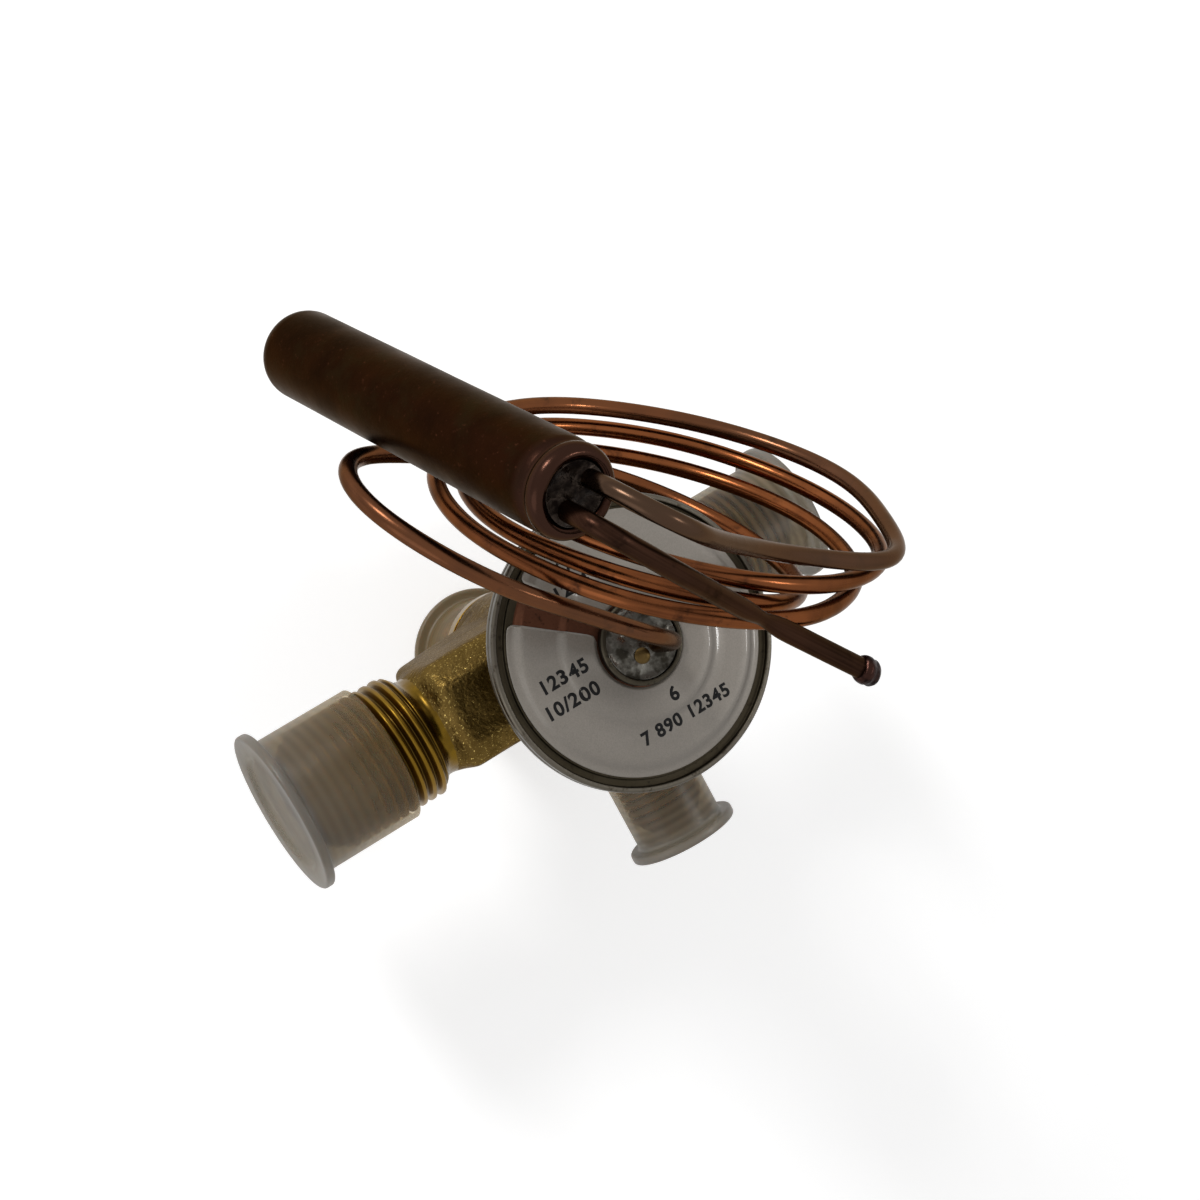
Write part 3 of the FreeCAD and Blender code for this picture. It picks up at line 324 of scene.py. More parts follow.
def soften(mesh, weight, rounds):
    """Moves each vertex towards the mean of its neighbours by its weight, several times over."""
    ends = np.empty(len(mesh.edges) * 2, np.int32)
    mesh.edges.foreach_get("vertices", ends)
    ends = ends.reshape(-1, 2)
    places = vertex_places(mesh)
    degree = np.bincount(ends.ravel(), minlength=len(places)).astype(float)
    for _ in range(rounds):
        total = np.zeros_like(places)
        for column in range(3):
            total[:, column] = (np.bincount(ends[:, 0], places[ends[:, 1], column], len(places))
                                + np.bincount(ends[:, 1], places[ends[:, 0], column], len(places)))
        mean = total / np.maximum(degree, 1)[:, None]
        places += (mean - places) * weight[:, None]
    set_places(mesh, places)


def dress(obj, material, body, slot, *nodes):
    """Gives a piece its material and its body, and hides the CAD nodes that it stands for; slot is not used.
    """
    obj.data.materials.clear()
    obj.data.materials.append(material)
    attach(obj, body)
    if nodes:
        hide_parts(*nodes)
    return obj


# Materials

# Tarnish takes some of the white off the edges of a metal, where it is seen at a glancing angle
DULL_EDGE = "#ccc4bc"


def forged_brass(colours):
    """Forging brass, shot blasted after the hot press: a coarse grainy skin with bright flecks, which are
    bare facets painted bright so that they also stand in for glints.
    """
    material, tree, shader = start_material("forged_brass_blasted", Metallic=1.0,
                                            Specular_Tint=linear(DULL_EDGE))
    place = add(tree, "TexCoord").outputs["Object"]
    # The blasted skin has dimples of about 0.5 mm over waves of 2 mm
    wave = spots(tree, place, 1.6, 3.0, 0.6, 0.3, 0.7)
    grain = spots(tree, place, 0.3, 3.0, 0.65, 0.3, 0.7)
    pits = add(tree, "TexVoronoi", {"Vector": place, "Scale": 1 / (0.6 * MM)}, feature="SMOOTH_F1")
    tone = blend_colours(tree, wave, colours[0], colours[1])
    tone = blend_colours(tree, spots(tree, place, 5.0, 4.0, 0.6, 0.45, 0.75), tone, colours[2])
    # Flecks where the blast has left bare facets, about 0.15 mm across; their bright colour is partly a
    # painted glint
    fleck = spots(tree, place, 0.14, 2.0, 0.7, 0.62, 0.7)
    tone = blend_colours(tree, fleck, tone, colours[3])
    paint(tree, shader, tone)
    vary_roughness(tree, shader, fleck, 0.38, 0.16)
    low = raise_surface(tree, shader, wave, 0.1)
    middle = raise_surface(tree, shader, pits.outputs["Distance"], 0.07, low)
    raise_surface(tree, shader, grain, 0.05, middle)
    return material


def turned_brass(name, colours, rough=0.2, valley_shade=None):
    """Free-cutting brass off the lathe: bright, with a little tarnish, and, for a thread, with shade painted
    low in its valleys.
    """
    material, tree, shader = start_material(name, Metallic=1.0)
    place = add(tree, "TexCoord").outputs["Object"]
    tarnish = spots(tree, place, 2.5, 4.0, 0.6, 0.4, 0.75)
    tone = blend_colours(tree, tarnish, colours[0], colours[1])
    if valley_shade:
        # Painted shade: towards the thread's root the colour darkens, as shade in the thread's valleys
        rise = add(tree, "Attribute", attribute_name="rise").outputs["Fac"]
        low = add(tree, "MapRange", {"Value": rise, "From Min": 0.05, "From Max": 0.45})
        tone = blend_colours(tree, low.outputs[0], valley_shade, tone)
    paint(tree, shader, tone)
    vary_roughness(tree, shader, tarnish, rough, rough + 0.12)
    raise_surface(tree, shader, spots(tree, place, 0.9, 2.0), 0.006)
    return material


def stained_steel(name, colours, rough=0.36):
    """Pressed steel with a thin copper flash, stained brown by the brazing furnace."""
    material, tree, shader = start_material(name, Metallic=1.0)
    place = add(tree, "TexCoord").outputs["Object"]
    cloud = spots(tree, place, 3.0, 4.0, 0.6, 0.35, 0.7)
    tone = blend_colours(tree, cloud, colours[0], colours[1])
    fleck = spots(tree, place, 0.5, 3.0, 0.7, 0.58, 0.72)
    tone = blend_colours(tree, fleck, tone, colours[2])
    paint(tree, shader, tone)
    vary_roughness(tree, shader, cloud, rough, rough + 0.16)
    raise_surface(tree, shader, spots(tree, place, 0.3, 3.0), 0.012)
    return material


def label_film(colours):
    """Silver printed film under a clear gloss coat, with the fine sparkle of its metal flakes."""
    material, tree, shader = start_material("label_film_silver", Metallic=0.2, Coat_Weight=0.3,
                                            Coat_Roughness=0.08)
    place = add(tree, "TexCoord").outputs["Object"]
    # The flakes are finer than 0.1 mm and are drawn at 0.12 mm so that they show
    flake = add(tree, "TexVoronoi", {"Vector": place, "Scale": 1 / (0.12 * MM)}, feature="F1")
    tone = blend_colours(tree, flake.outputs["Color"], colours[0], colours[1])
    paint(tree, shader, tone)
    haze = spots(tree, place, 4.0, 3.0)
    vary_roughness(tree, shader, haze, 0.4, 0.5)
    raise_surface(tree, shader, spots(tree, place, 2.5, 2.0), 0.01)
    return material


def drawn_copper(name, colours, rough=0.24, ends=None):
    """Drawn copper tube that has tarnished: faint streaks along it, darker where it was brazed."""
    material, tree, shader = start_material(name, Metallic=1.0, Specular_Tint=linear(DULL_EDGE))
    coordinates = add(tree, "TexCoord")
    place = coordinates.outputs["Object"]
    cloud = spots(tree, place, 9.0, 4.0, 0.6, 0.38, 0.68)
    tone = blend_colours(tree, cloud, colours[0], colours[1])
    # Drawing streaks are a few hundredths of a mm apart and 20 mm long; drawn at 0.25 mm to show
    streak_place = add(tree, "Mapping", {"Vector": coordinates.outputs["UV"], "Scale": (30.0, 50.0, 1.0)})
    streak = add(tree, "TexNoise", {"Vector": streak_place.outputs[0], "Scale": 1.0, "Detail": 3.0})
    faint = add(tree, "MapRange", {"Value": streak.outputs["Fac"], "From Min": 0.35, "From Max": 0.7,
                                   "To Max": 0.3})
    tone = blend_colours(tree, faint.outputs[0], tone, colours[2])
    stain = spots(tree, place, 2.0, 5.0, 0.65, 0.56, 0.72)
    tone = blend_colours(tree, stain, tone, colours[3])
    if ends:
        split = add(tree, "SeparateXYZ", {0: coordinates.outputs["UV"]})
        part = add(tree, "Math", {0: split.outputs["Y"], 1: ends[0]}, operation="DIVIDE")
        fade = add(tree, "ValToRGB", {0: part.outputs[0]}, stops=ends[1])
        tone = blend_colours(tree, fade.outputs["Color"], tone, colours[4])
    paint(tree, shader, tone)
    vary_roughness(tree, shader, cloud, rough, rough + 0.12)
    raise_surface(tree, shader, spots(tree, place, 1.2, 3.0), 0.01)
    return material


def oxidised_copper(colours):
    """Copper tube oxidised dark by heat: red-brown under a thin purple-grey film, faintly mottled.
    Near the mouth it was rubbed while it was brazed, so it is smoother and paler there."""
    material, tree, shader = start_material("bulb_copper_oxidised", Metallic=1.0,
                                            Specular_Tint=linear(DULL_EDGE))
    coordinates = add(tree, "TexCoord")
    place = coordinates.outputs["Object"]
    cloud = spots(tree, place, 5.0, 5.0, 0.6, 0.38, 0.66)
    tone = blend_colours(tree, cloud, colours[0], colours[1])
    olive = spots(tree, place, 3.5, 5.0, 0.65, 0.5, 0.68)
    tone = blend_colours(tree, olive, tone, colours[2])
    fleck = spots(tree, place, 0.3, 4.0, 0.7, 0.62, 0.75)
    tone = blend_colours(tree, fleck, tone, colours[3])
    rub = add(tree, "Attribute", attribute_name="rubbed").outputs["Fac"]
    tone = blend_colours(tree, rub, tone, colours[4])
    paint(tree, shader, tone)
    spread = add(tree, "MapRange", {"Value": cloud, "To Min": 0.34, "To Max": 0.46})
    smooth = add(tree, "Mix", {0: rub, 2: spread.outputs[0], 3: 0.22})
    tree.links.new(smooth.outputs[0], shader.inputs["Roughness"])
    under = raise_surface(tree, shader, spots(tree, place, 1.5, 4.0), 0.015)
    raise_surface(tree, shader, spots(tree, place, 0.15, 3.0), 0.004, under)
    return material


def frosted_polyethylene(colour, warm, valley_shade, tint):
    """Moulded low-density polyethylene: milky, so that a thin wall veils what is under it and the thick
    flange and end hide it. The attribute clear holds how much light goes straight through a face, and
    the attribute warm how much of the plastic's own colour comes from the brass that it touches. The
    attribute crest is 1 where a thread's crest lies against the wall, and less over its valleys, where the
    wall is painted darker as the shade of the thread's valleys seen through it."""
    material, tree, shader = start_material("cap_polyethylene_moulded", Roughness=0.4, IOR=1.51,
                                            Subsurface_Weight=0.25, Subsurface_Scale=1.5 * MM)
    place = add(tree, "TexCoord").outputs["Object"]
    glow = add(tree, "Attribute", attribute_name="warm").outputs["Fac"]
    tone = blend_colours(tree, glow, colour, warm)
    crest = add(tree, "Attribute", attribute_name="crest").outputs["Fac"]
    # Painted shade: over the thread's valleys the wall takes a darker colour
    tree.links.new(blend_colours(tree, crest, valley_shade, tone), shader.inputs["Base Color"])
    raise_surface(tree, shader, spots(tree, place, 1.2, 3.0), 0.02)
    through = add(tree, "BsdfTransparent", {"Color": linear(tint)})
    clear = add(tree, "Attribute", attribute_name="clear").outputs["Fac"]
    cloudy = add(tree, "MapRange", {"Value": spots(tree, place, 3.0, 3.0), "To Min": 0.92, "To Max": 1.08})
    share = add(tree, "Math", {0: clear, 1: cloudy.outputs[0]}, operation="MULTIPLY")
    mix = add(tree, "MixShader", {0: share.outputs[0], 1: shader.outputs[0], 2: through.outputs[0]})
    tree.links.new(mix.outputs[0], output_of(tree).inputs["Surface"])
    return material


def frozen_solder(colours, patch=0.8):
    """Silver solder frozen in ripples, with patches of burnt flux that are patch mm across."""
    material, tree, shader = start_material("solder_frozen", Metallic=1.0)
    place = add(tree, "TexCoord").outputs["Object"]
    flux = spots(tree, place, patch, 4.0, 0.6, 0.4, 0.62)
    tone = blend_colours(tree, flux, colours[0], colours[1])
    paint(tree, shader, tone)
    vary_roughness(tree, shader, flux, 0.2, 0.6)
    raise_surface(tree, shader, spots(tree, place, patch, 3.0, 0.5), 0.09)
    return material


def plain_finish(name, colours, metallic, rough, size_mm=0.6):
    """A plain finish with slight clouding, for the pieces inside the valve."""
    material, tree, shader = start_material(name, Metallic=metallic)
    place = add(tree, "TexCoord").outputs["Object"]
    cloud = spots(tree, place, size_mm, 3.0)
    tree.links.new(blend_colours(tree, cloud, colours[0], colours[1]), shader.inputs["Base Color"])
    vary_roughness(tree, shader, cloud, rough, rough + 0.12)
    raise_surface(tree, shader, cloud, 0.008)
    return material


def hex_of(value):
    """The sRGB hex code of a colour property."""
    return "#%02x%02x%02x" % tuple(int(round(max(0.0, min(1.0, part)) * 255)) for part in value)


# Sizes and colours that a user would change

def length(name, description, default_mm):
    """A size in metres, given in mm."""
    return FloatProperty(name=name, description=description, default=default_mm * MM, unit="LENGTH",
                         precision=5)


def colour(name, description, code):
    """A colour given by its sRGB hex code."""
    parts = tuple(int(code[k:k + 2], 16) / 255 for k in (1, 3, 5))
    return FloatVectorProperty(name=name, description=description, default=parts, subtype="COLOR_GAMMA",
                               size=3, min=0.0, max=1.0)


class ValveSizes(bpy.types.PropertyGroup):
    """Sizes of the threads, the capillary and the detail of the skin"""
    outlet_pitch: length("Outlet pitch", "Pitch of the outlet's flare thread, 16 to the inch", 1.5875)
    inlet_pitch: length("Inlet pitch", "Pitch of the inlet's and the gland's thread, 18 to the inch", 1.4111)
    equalizer_pitch: length("Equaliser pitch", "Pitch of the equaliser's thread, 20 to the inch", 1.27)
    tube_radius: length("Capillary radius", "Radius of the capillary tube", 1.2)
    charge_radius: length("Charge tube radius", "Radius of the bulb's filling tube where it is round", 1.3)
    skin_detail: length("Skin detail", "Size of the cells that the forging's skin is built from", 0.46)
    tube_sides: IntProperty(name="Tube sides", description="Facets round each tube", default=20, min=8,
                            max=48)


class ValveColours(bpy.types.PropertyGroup):
    """Colours of the finishes"""
    brass: colour("Forged brass", "Colour of the blasted forging", "#4f3e1c")
    brass_light: colour("Forged brass, worn", "Colour of the forging's high spots", "#66522a")
    brass_dark: colour("Forged brass, dirty", "Colour of the forging's stains", "#413114")
    # Partly painted highlight: the flecks' bright colour also stands in for glints
    brass_glint_fleck: colour("Forged brass, bare", "Colour of the forging's bright flecks", "#c8ae66")
    turned: colour("Turned brass", "Colour of the machined brass", "#7c5f20")
    turned_dark: colour("Turned brass, tarnished", "Colour of tarnish on the machined brass", "#6c5318")
    # Painted shade that darkens the threads' valleys
    valley_shade: colour("Thread valley", "Colour low in the threads", "#54411a")
    steel: colour("Case steel", "Colour of the pressed case", "#575249")
    # Painted shade: the dark colour of the groove stands for the shade in the rim's recess
    groove: colour("Case groove", "Colour of the dirt in the groove of the rim", "#2d281e")
    flash: colour("Case copper flash", "Colour of the case where the label leaves it bare", "#5a3a2b")
    label: colour("Label", "Colour of the silver film", "#888178")
    label_flake: colour("Label flake", "Colour of the film's flakes", "#7a746b")
    copper: colour("Capillary copper", "Colour of the drawn tube", "#784526")
    copper_dark: colour("Capillary tarnish", "Colour of tarnish on the tube", "#422416")
    bulb: colour("Bulb copper", "Colour of the oxidised bulb", "#200e07")
    bulb_dark: colour("Bulb oxide", "Colour of the darker oxide", "#120705")
    cap_warm: colour("Cap plastic on brass", "Colour of the caps where they lie on brass", "#7a6338")
    cap: colour("Cap plastic", "Colour of the frosted caps", "#6c665d")
    # Painted shade: the caps' colour over the threads' valleys, as if their shade showed through the wall
    cap_valley_shade: colour("Cap plastic over a valley", "Colour of the caps over the thread's valleys", "#3a2f1c")


def sizes():
    """The sizes that the user can change."""
    return bpy.context.scene.valve_sizes


def shades(*names):
    """The sRGB hex codes of the colour properties with these names."""
    return [hex_of(getattr(bpy.context.scene.valve_colours, name)) for name in names]


# Body and threads

def thread_skin(name, major, pitch, start, end, base, direction, around=112):
    """A threaded skin: radius = core + depth * w(height / pitch - angle / turn), where w is a V with a
    flattened crest and root, held under a 45 degree chamfer at each end. The surface returns along a
    smaller radius inside the metal, so that it is closed. Lengths in mm."""
    depth = THREAD_DEPTH * pitch
    core = major - depth
    rows_a_turn = 16
    under = core - 0.15          # where the chamfers start
    height = np.linspace(start, end, int((end - start) / pitch * rows_a_turn))
    angle = np.linspace(0, 2 * math.pi, around, endpoint=False)
    phase = (height[:, None] / pitch - angle[None, :] / (2 * math.pi)) % 1.0
    ramp = 1 - np.abs(2 * phase - 1)
    form = np.clip((ramp - 0.08) / 0.66, 0, 1)
    form = 0.45 * form + 0.55 * form * form * (3 - 2 * form)
    radius = core + depth * form
    chamfer = under + np.minimum(height - start, end - height)[:, None]
    radius = np.minimum(radius, np.maximum(chamfer, under))
    inner = np.full((2, around), core - 0.5)
    radius = np.vstack([radius, inner])
    height = np.concatenate([height, [end, start]])
    first, second, axis = axes_of(direction)
    ring = np.cos(angle)[:, None] * first + np.sin(angle)[:, None] * second
    rows = np.array(base) + height[:, None, None] * axis + radius[:, :, None] * ring[None]
    thread = grid_object(name, rows * MM, closed=True)
    # rise is 0 at the thread's root and 1 at its crest; the thread's material paints shade low in the thread
    # by it
    mark(thread, "rise", np.clip((radius - core) / depth, 0, 1).ravel())
    return thread


PORTS = {
    # name: (major radius, first and last height of the thread, direction, base)
    "outlet": (HALF_INCH, 24.2, 41.6, (-1, 0, 0), PORT_CENTRE),
    "inlet": (THREE_EIGHTHS, 20.2, 37.4, (1, 0, 0), PORT_CENTRE),
    "equalizer": (QUARTER_INCH, 15.6, 27.0, (0, -1, 0), (0, 0, PORT_HEIGHT / MM + BRANCH_RISE)),
}


def port_pitches():
    """The pitch of each port's thread."""
    return {name: getattr(sizes(), name + "_pitch") for name in PORTS}


def press_thread(places, name, pitch):
    """Presses the plain cylinder of a port down to the root of its thread."""
    major, start, end, direction, base = PORTS[name]
    axis = axes_of(direction)[2]
    local = places / MM - np.array(base)
    height = local @ axis
    radial = local - height[:, None] * axis
    reach = np.linalg.norm(radial, axis=1)
    core = major - THREAD_DEPTH * pitch / MM - 0.12
    zone = (height > start - 0.9) & (height < end + 0.5) & (reach > core)
    scale = np.where(zone, core / np.maximum(reach, 1e-9), 1.0)
    return (np.array(base) + height[:, None] * axis + radial * scale[:, None]) * MM


def build_valve_body():
    """The forging from the CAD node: its skin is rebuilt in even cells, the forged zones are rubbed soft,
    and the threaded cylinders are pressed to the root of the thread for the thread skins."""
    obj = merged_copy("valve_body", "body_forging")
    cells = obj.modifiers.new("cells", "REMESH")
    cells.mode = "VOXEL"
    cells.voxel_size = sizes().skin_detail * 1.0
    apply_modifiers(obj)
    # The forged zones, in mm: both arms between the necks, the branch up to its neck, and the column
    # under the case, without the bores
    places = vertex_places(obj.data) / MM
    x, y, z = places[:, 0], places[:, 1], places[:, 2] - PORT_HEIGHT / MM
    port = np.hypot(y, z)
    column = np.hypot(x, y)
    arm = (x > -21.2) & (x < 16.2) & (z < 9.6) & (z > -16) & (port > 6.0)
    outside = (np.abs(y) > 7.4) | (z > 5.9) | (z < -8.6)
    branch = (y < -8) & (y > -13.4) & (np.hypot(x, z - BRANCH_RISE) > 4)
    column_skin = (column > 9.3) & (z < 16.4)
    forged = (arm & outside) | branch | column_skin
    soften(obj.data, np.where(forged, 0.55, 0.0), rounds=14)
    # The arm runs into the neck behind the outlet's thread by a wide soft fillet
    neck = np.exp(-((x + 21.6) / 1.3) ** 2) * (port > 6.8)
    soften(obj.data, 0.6 * neck, rounds=24)
    places = vertex_places(obj.data)
    # Unevenness of the forging, a tenth of a millimetre from low to high over 4 to 7 mm
    unevenness = 0.045 * MM
    wave = (np.sin(places[:, 0] / (1.9 * MM) + 1.3 * np.sin(places[:, 1] / (2.3 * MM)))
            * np.sin(places[:, 1] / (1.6 * MM) + places[:, 2] / (2.1 * MM)))
    normals = np.empty(len(places) * 3, np.float32)
    obj.data.vertices.foreach_get("normal", normals)
    places += normals.reshape(-1, 3) * (wave * forged * unevenness)[:, None]
    for name, pitch in port_pitches().items():
        places = press_thread(places, name, pitch)
    set_places(obj.data, places)
    obj.data.shade_smooth()
    material = forged_brass(shades("brass", "brass_light", "brass_dark", "brass_glint_fleck"))
    dress(obj, material, "valve", "forged_brass", "valve_body")
    # The necks and the ends of the ports were turned after forging, beyond these places in mm
    smooth = turned_brass("neck_brass_turned", shades("turned_dark", "brass_dark"), 0.24)
    obj.data.materials.append(smooth)
    centres = face_centres(obj.data) / MM
    cut = (centres[:, 0] < -22.2) | (centres[:, 0] > 18.4) | (centres[:, 1] < -14.0)
    obj.data.polygons.foreach_set("material_index", cut.astype(np.int32))
    bright = turned_brass("thread_brass_turned", shades("turned", "turned_dark"), 0.3, *shades("valley_shade"))
    for name, pitch in port_pitches().items():
        major, start, end, direction, base = PORTS[name]
        thread = thread_skin(name + "_thread", major, pitch / MM, start, end, base, direction)
        dress(thread, bright, "valve", "turned_brass")


# Gland

def build_gland():
    """The gland under the stem cap, with its thread; the gland presses the copper gasket, which is not built
    here.
    """
    pitch = sizes().inlet_pitch / MM
    core = THREE_EIGHTHS - THREAD_DEPTH * pitch - 0.1
    profile = rounded([(5.9, 14.3), (6.96, 14.3), (6.96, 20.6), (9.6, 20.6), (9.6, 23.0), (7.0, 23.0),
                       (core, 24.4), (core, 33.8), (core - 0.6, 34.4), (2.49, 34.4), (2.49, 31.6),
                       (3.6, 31.6), (3.6, 30.0), (2.49, 30.0), (2.49, 28.4), (4.05, 28.4),
                       (4.05, 27.25), (5.9, 27.25)], 0.15)
    brass = turned_brass("gland_brass_turned", shades("turned", "turned_dark"), 0.22)
    gland = turned("gland_turned", profile, direction=(0, 0, -1))
    dress(gland, brass, "valve", "turned_brass", "stem_gland")
    thread = thread_skin("gland_thread", THREE_EIGHTHS, pitch, 24.0, 34.2, PORT_CENTRE, (0, 0, -1))
    threaded = turned_brass("gland_thread_turned", shades("turned", "turned_dark"), 0.22, *shades("valley_shade"))
    dress(thread, threaded, "valve", "turned_brass")


# Diaphragm case, label and boss

def build_case():
    """The two pressed halves of the case, with the rolled bead and the groove round the rim."""
    steel = stained_steel("case_steel_stained", [*shades("steel"), "#524d45", "#363027"], 0.3)
    # The groove's steel is painted dark as the shade in the recess
    groove = stained_steel("case_steel_dirty", [*shades("groove"), "#3c362b", "#221e18"], 0.42)
    flash = stained_steel("case_steel_flashed", [*shades("flash"), "#442a1f", "#2e1c14"], 0.36)
    lower = rounded([(9.04, 17.6), (11.6, 17.6), (11.6, 24.6), (17.6, 29.1), (19.0, 30.0), (20.2, 30.0),
                     (20.2, 31.0), (18.0, 31.0), (17.5, 29.9), (9.04, 24.6)], 0.45)
    dress(turned("case_lower_pressing", lower, around=192), steel, "valve", "case_steel", "lower_case")
    upper = rounded([(18.0, 31.3), (20.2, 31.3), (20.2, 32.2), (19.95, 32.45), (19.55, 32.45), (19.4, 32.3),
                     (19.4, 31.7), (18.4, 31.7), (18.4, 32.3), (17.1, 32.3), (16.3, 33.15), (11.3, 33.15),
                     (10.5, 34.0), (4.04, 34.0), (4.04, 33.15), (10.9, 33.15), (11.7, 32.3), (16.7, 32.3),
                     (17.5, 31.45), (17.7, 31.45)], 0.16)
    piece = turned("case_upper_pressing", upper, around=224)
    dress(piece, flash, "valve", "case_steel", "upper_case")
    piece.data.materials.append(groove)
    piece.data.materials.append(steel)
    # The bead was rubbed bright, the groove is painted dark as the shade in its recess, and the copper flash
    # shows inside it
    centres = face_centres(piece.data)
    reach = np.hypot(centres[:, 0], centres[:, 1]) / MM
    bead = (reach > 19.5) & (centres[:, 2] > PORT_HEIGHT + 31.9 * MM) | (reach > 20.1)
    part = np.where(bead, 2, np.where(reach > 17.7, 1, 0))
    piece.data.polygons.foreach_set("material_index", part.astype(np.int32))


# Outline of the case under the label: radius and height over the ports, in mm, from the rim inwards
LABEL_LINE = np.array([
    (18.1, 32.3), (17.95, 32.3), (17.6, 32.3), (17.25, 32.34), (16.95, 32.52), (16.6, 32.88), (16.3, 33.08),
    (15.9, 33.15), (15.0, 33.15), (13.0, 33.15), (11.6, 33.17), (11.2, 33.28), (10.85, 33.6), (10.5, 33.9),
    (10.1, 33.99), (9.0, 34.0), (7.5, 34.0), (6.5, 34.0), (6.05, 34.0)])


def build_label():
    """The film that follows the steps of the case: a ring left open over a small angle. Point (a, s)
    lies at the angle a and at the place s along the stepped outline; the open ends have round corners,
    made by drawing the ends back near the two edges."""
    line = LABEL_LINE
    thickness = 0.15
    corner = 0.9
    over = line + np.array([0.0, thickness])
    gap = math.radians(19.0) / 2
    centre = math.radians(133.5)
    edge = np.minimum(line[0, 0] - line[:, 0], line[:, 0] - line[-1, 0])
    back = corner - np.sqrt(np.maximum(corner ** 2 - (corner - edge) ** 2, 0))
    back = np.where(edge < corner, back, 0) / line[:, 0]
    part = np.linspace(0, 1, 220)
    half = gap + back
    angle = centre + half[:, None] + part[None, :] * (2 * math.pi - 2 * half[:, None])
    layers = []
    for outline in (over, line):
        layers.append(np.stack([outline[:, 0, None] * np.cos(angle), outline[:, 0, None] * np.sin(angle),
                                outline[:, 1, None] + PORT_HEIGHT / MM + 0 * angle], -1))
    section = np.concatenate([layers[0], layers[1][::-1]], 0).transpose(1, 0, 2)
    label = grid_object("label_film", section * MM, caps=("rungs", "rungs"))
    dress(label, label_film(shades("label", "label_flake")), "valve", "label_film", "element_label")


def build_label_numbers():
    """Plain numbers, printed in straight lines and laid over the steps of the label."""
    ink = plain_finish("label_ink_printed", ["#0a0a0a", "#101010"], 0.0, 0.5)
    ink.node_tree.nodes["Principled BSDF"].inputs["Specular IOR Level"].default_value = 0.15
    rows = [
        # text, height of a digit in mm, left end and foot of the line in mm
        ("12345", 1.9, (-15.2, 0.3)),
        ("10/200", 1.9, (-16.2, -3.1)),
        ("6", 1.9, (0.2, -9.3)),
        ("7 890 12345", 1.8, (-5.9, -12.7)),
        ("1234", 1.8, (-7.3, 10.1)),
        ("5678", 1.8, (-7.0, 12.8)),
    ]
    digit_share = 0.71          # height of a digit over the font's size
    ink_height = 0.012 * MM
    longest_edge = 0.35 * MM    # short enough to bend over the steps of the case
    for k, (text, height, start) in enumerate(rows):
        curve = bpy.data.curves.new("label_number", "FONT")
        curve.body = text
        curve.size = height * MM / digit_share
        curve.space_character = 1.12
        curve.offset = 0.085 * MM
        source = bpy.data.objects.new("label_number", curve)
        bpy.context.scene.collection.objects.link(source)
        bpy.context.view_layer.update()
        mesh = bpy.data.meshes.new_from_object(source.evaluated_get(bpy.context.evaluated_depsgraph_get()))
        bpy.data.objects.remove(source)
        work = bmesh.new()
        work.from_mesh(mesh)
        for _ in range(4):
            bmesh.ops.triangulate(work, faces=work.faces)
            long = [edge for edge in work.edges if edge.calc_length() > longest_edge]
            bmesh.ops.subdivide_edges(work, edges=long, cuts=1)
        bmesh.ops.triangulate(work, faces=work.faces)
        bmesh.ops.remove_doubles(work, verts=work.verts, dist=1e-7)
        skin = bmesh.ops.extrude_face_region(work, geom=work.faces[:])
        for vert in [item for item in skin["geom"] if isinstance(item, bmesh.types.BMVert)]:
            vert.co.z += ink_height
        bmesh.ops.recalc_face_normals(work, faces=work.faces)
        work.to_mesh(mesh)
        work.free()
        places = vertex_places(mesh)
        places += np.array([start[0] * MM, start[1] * MM, PORT_HEIGHT])
        reach = np.hypot(places[:, 0], places[:, 1]) / MM
        places[:, 2] += (np.interp(reach, LABEL_LINE[::-1, 0], LABEL_LINE[::-1, 1]) + 0.155) * MM
        set_places(mesh, places)
        piece = bpy.data.objects.new("label_numbers_%d" % (k + 1), mesh)
        bpy.context.scene.collection.objects.link(piece)
        dress(piece, ink, "valve", "label_film")


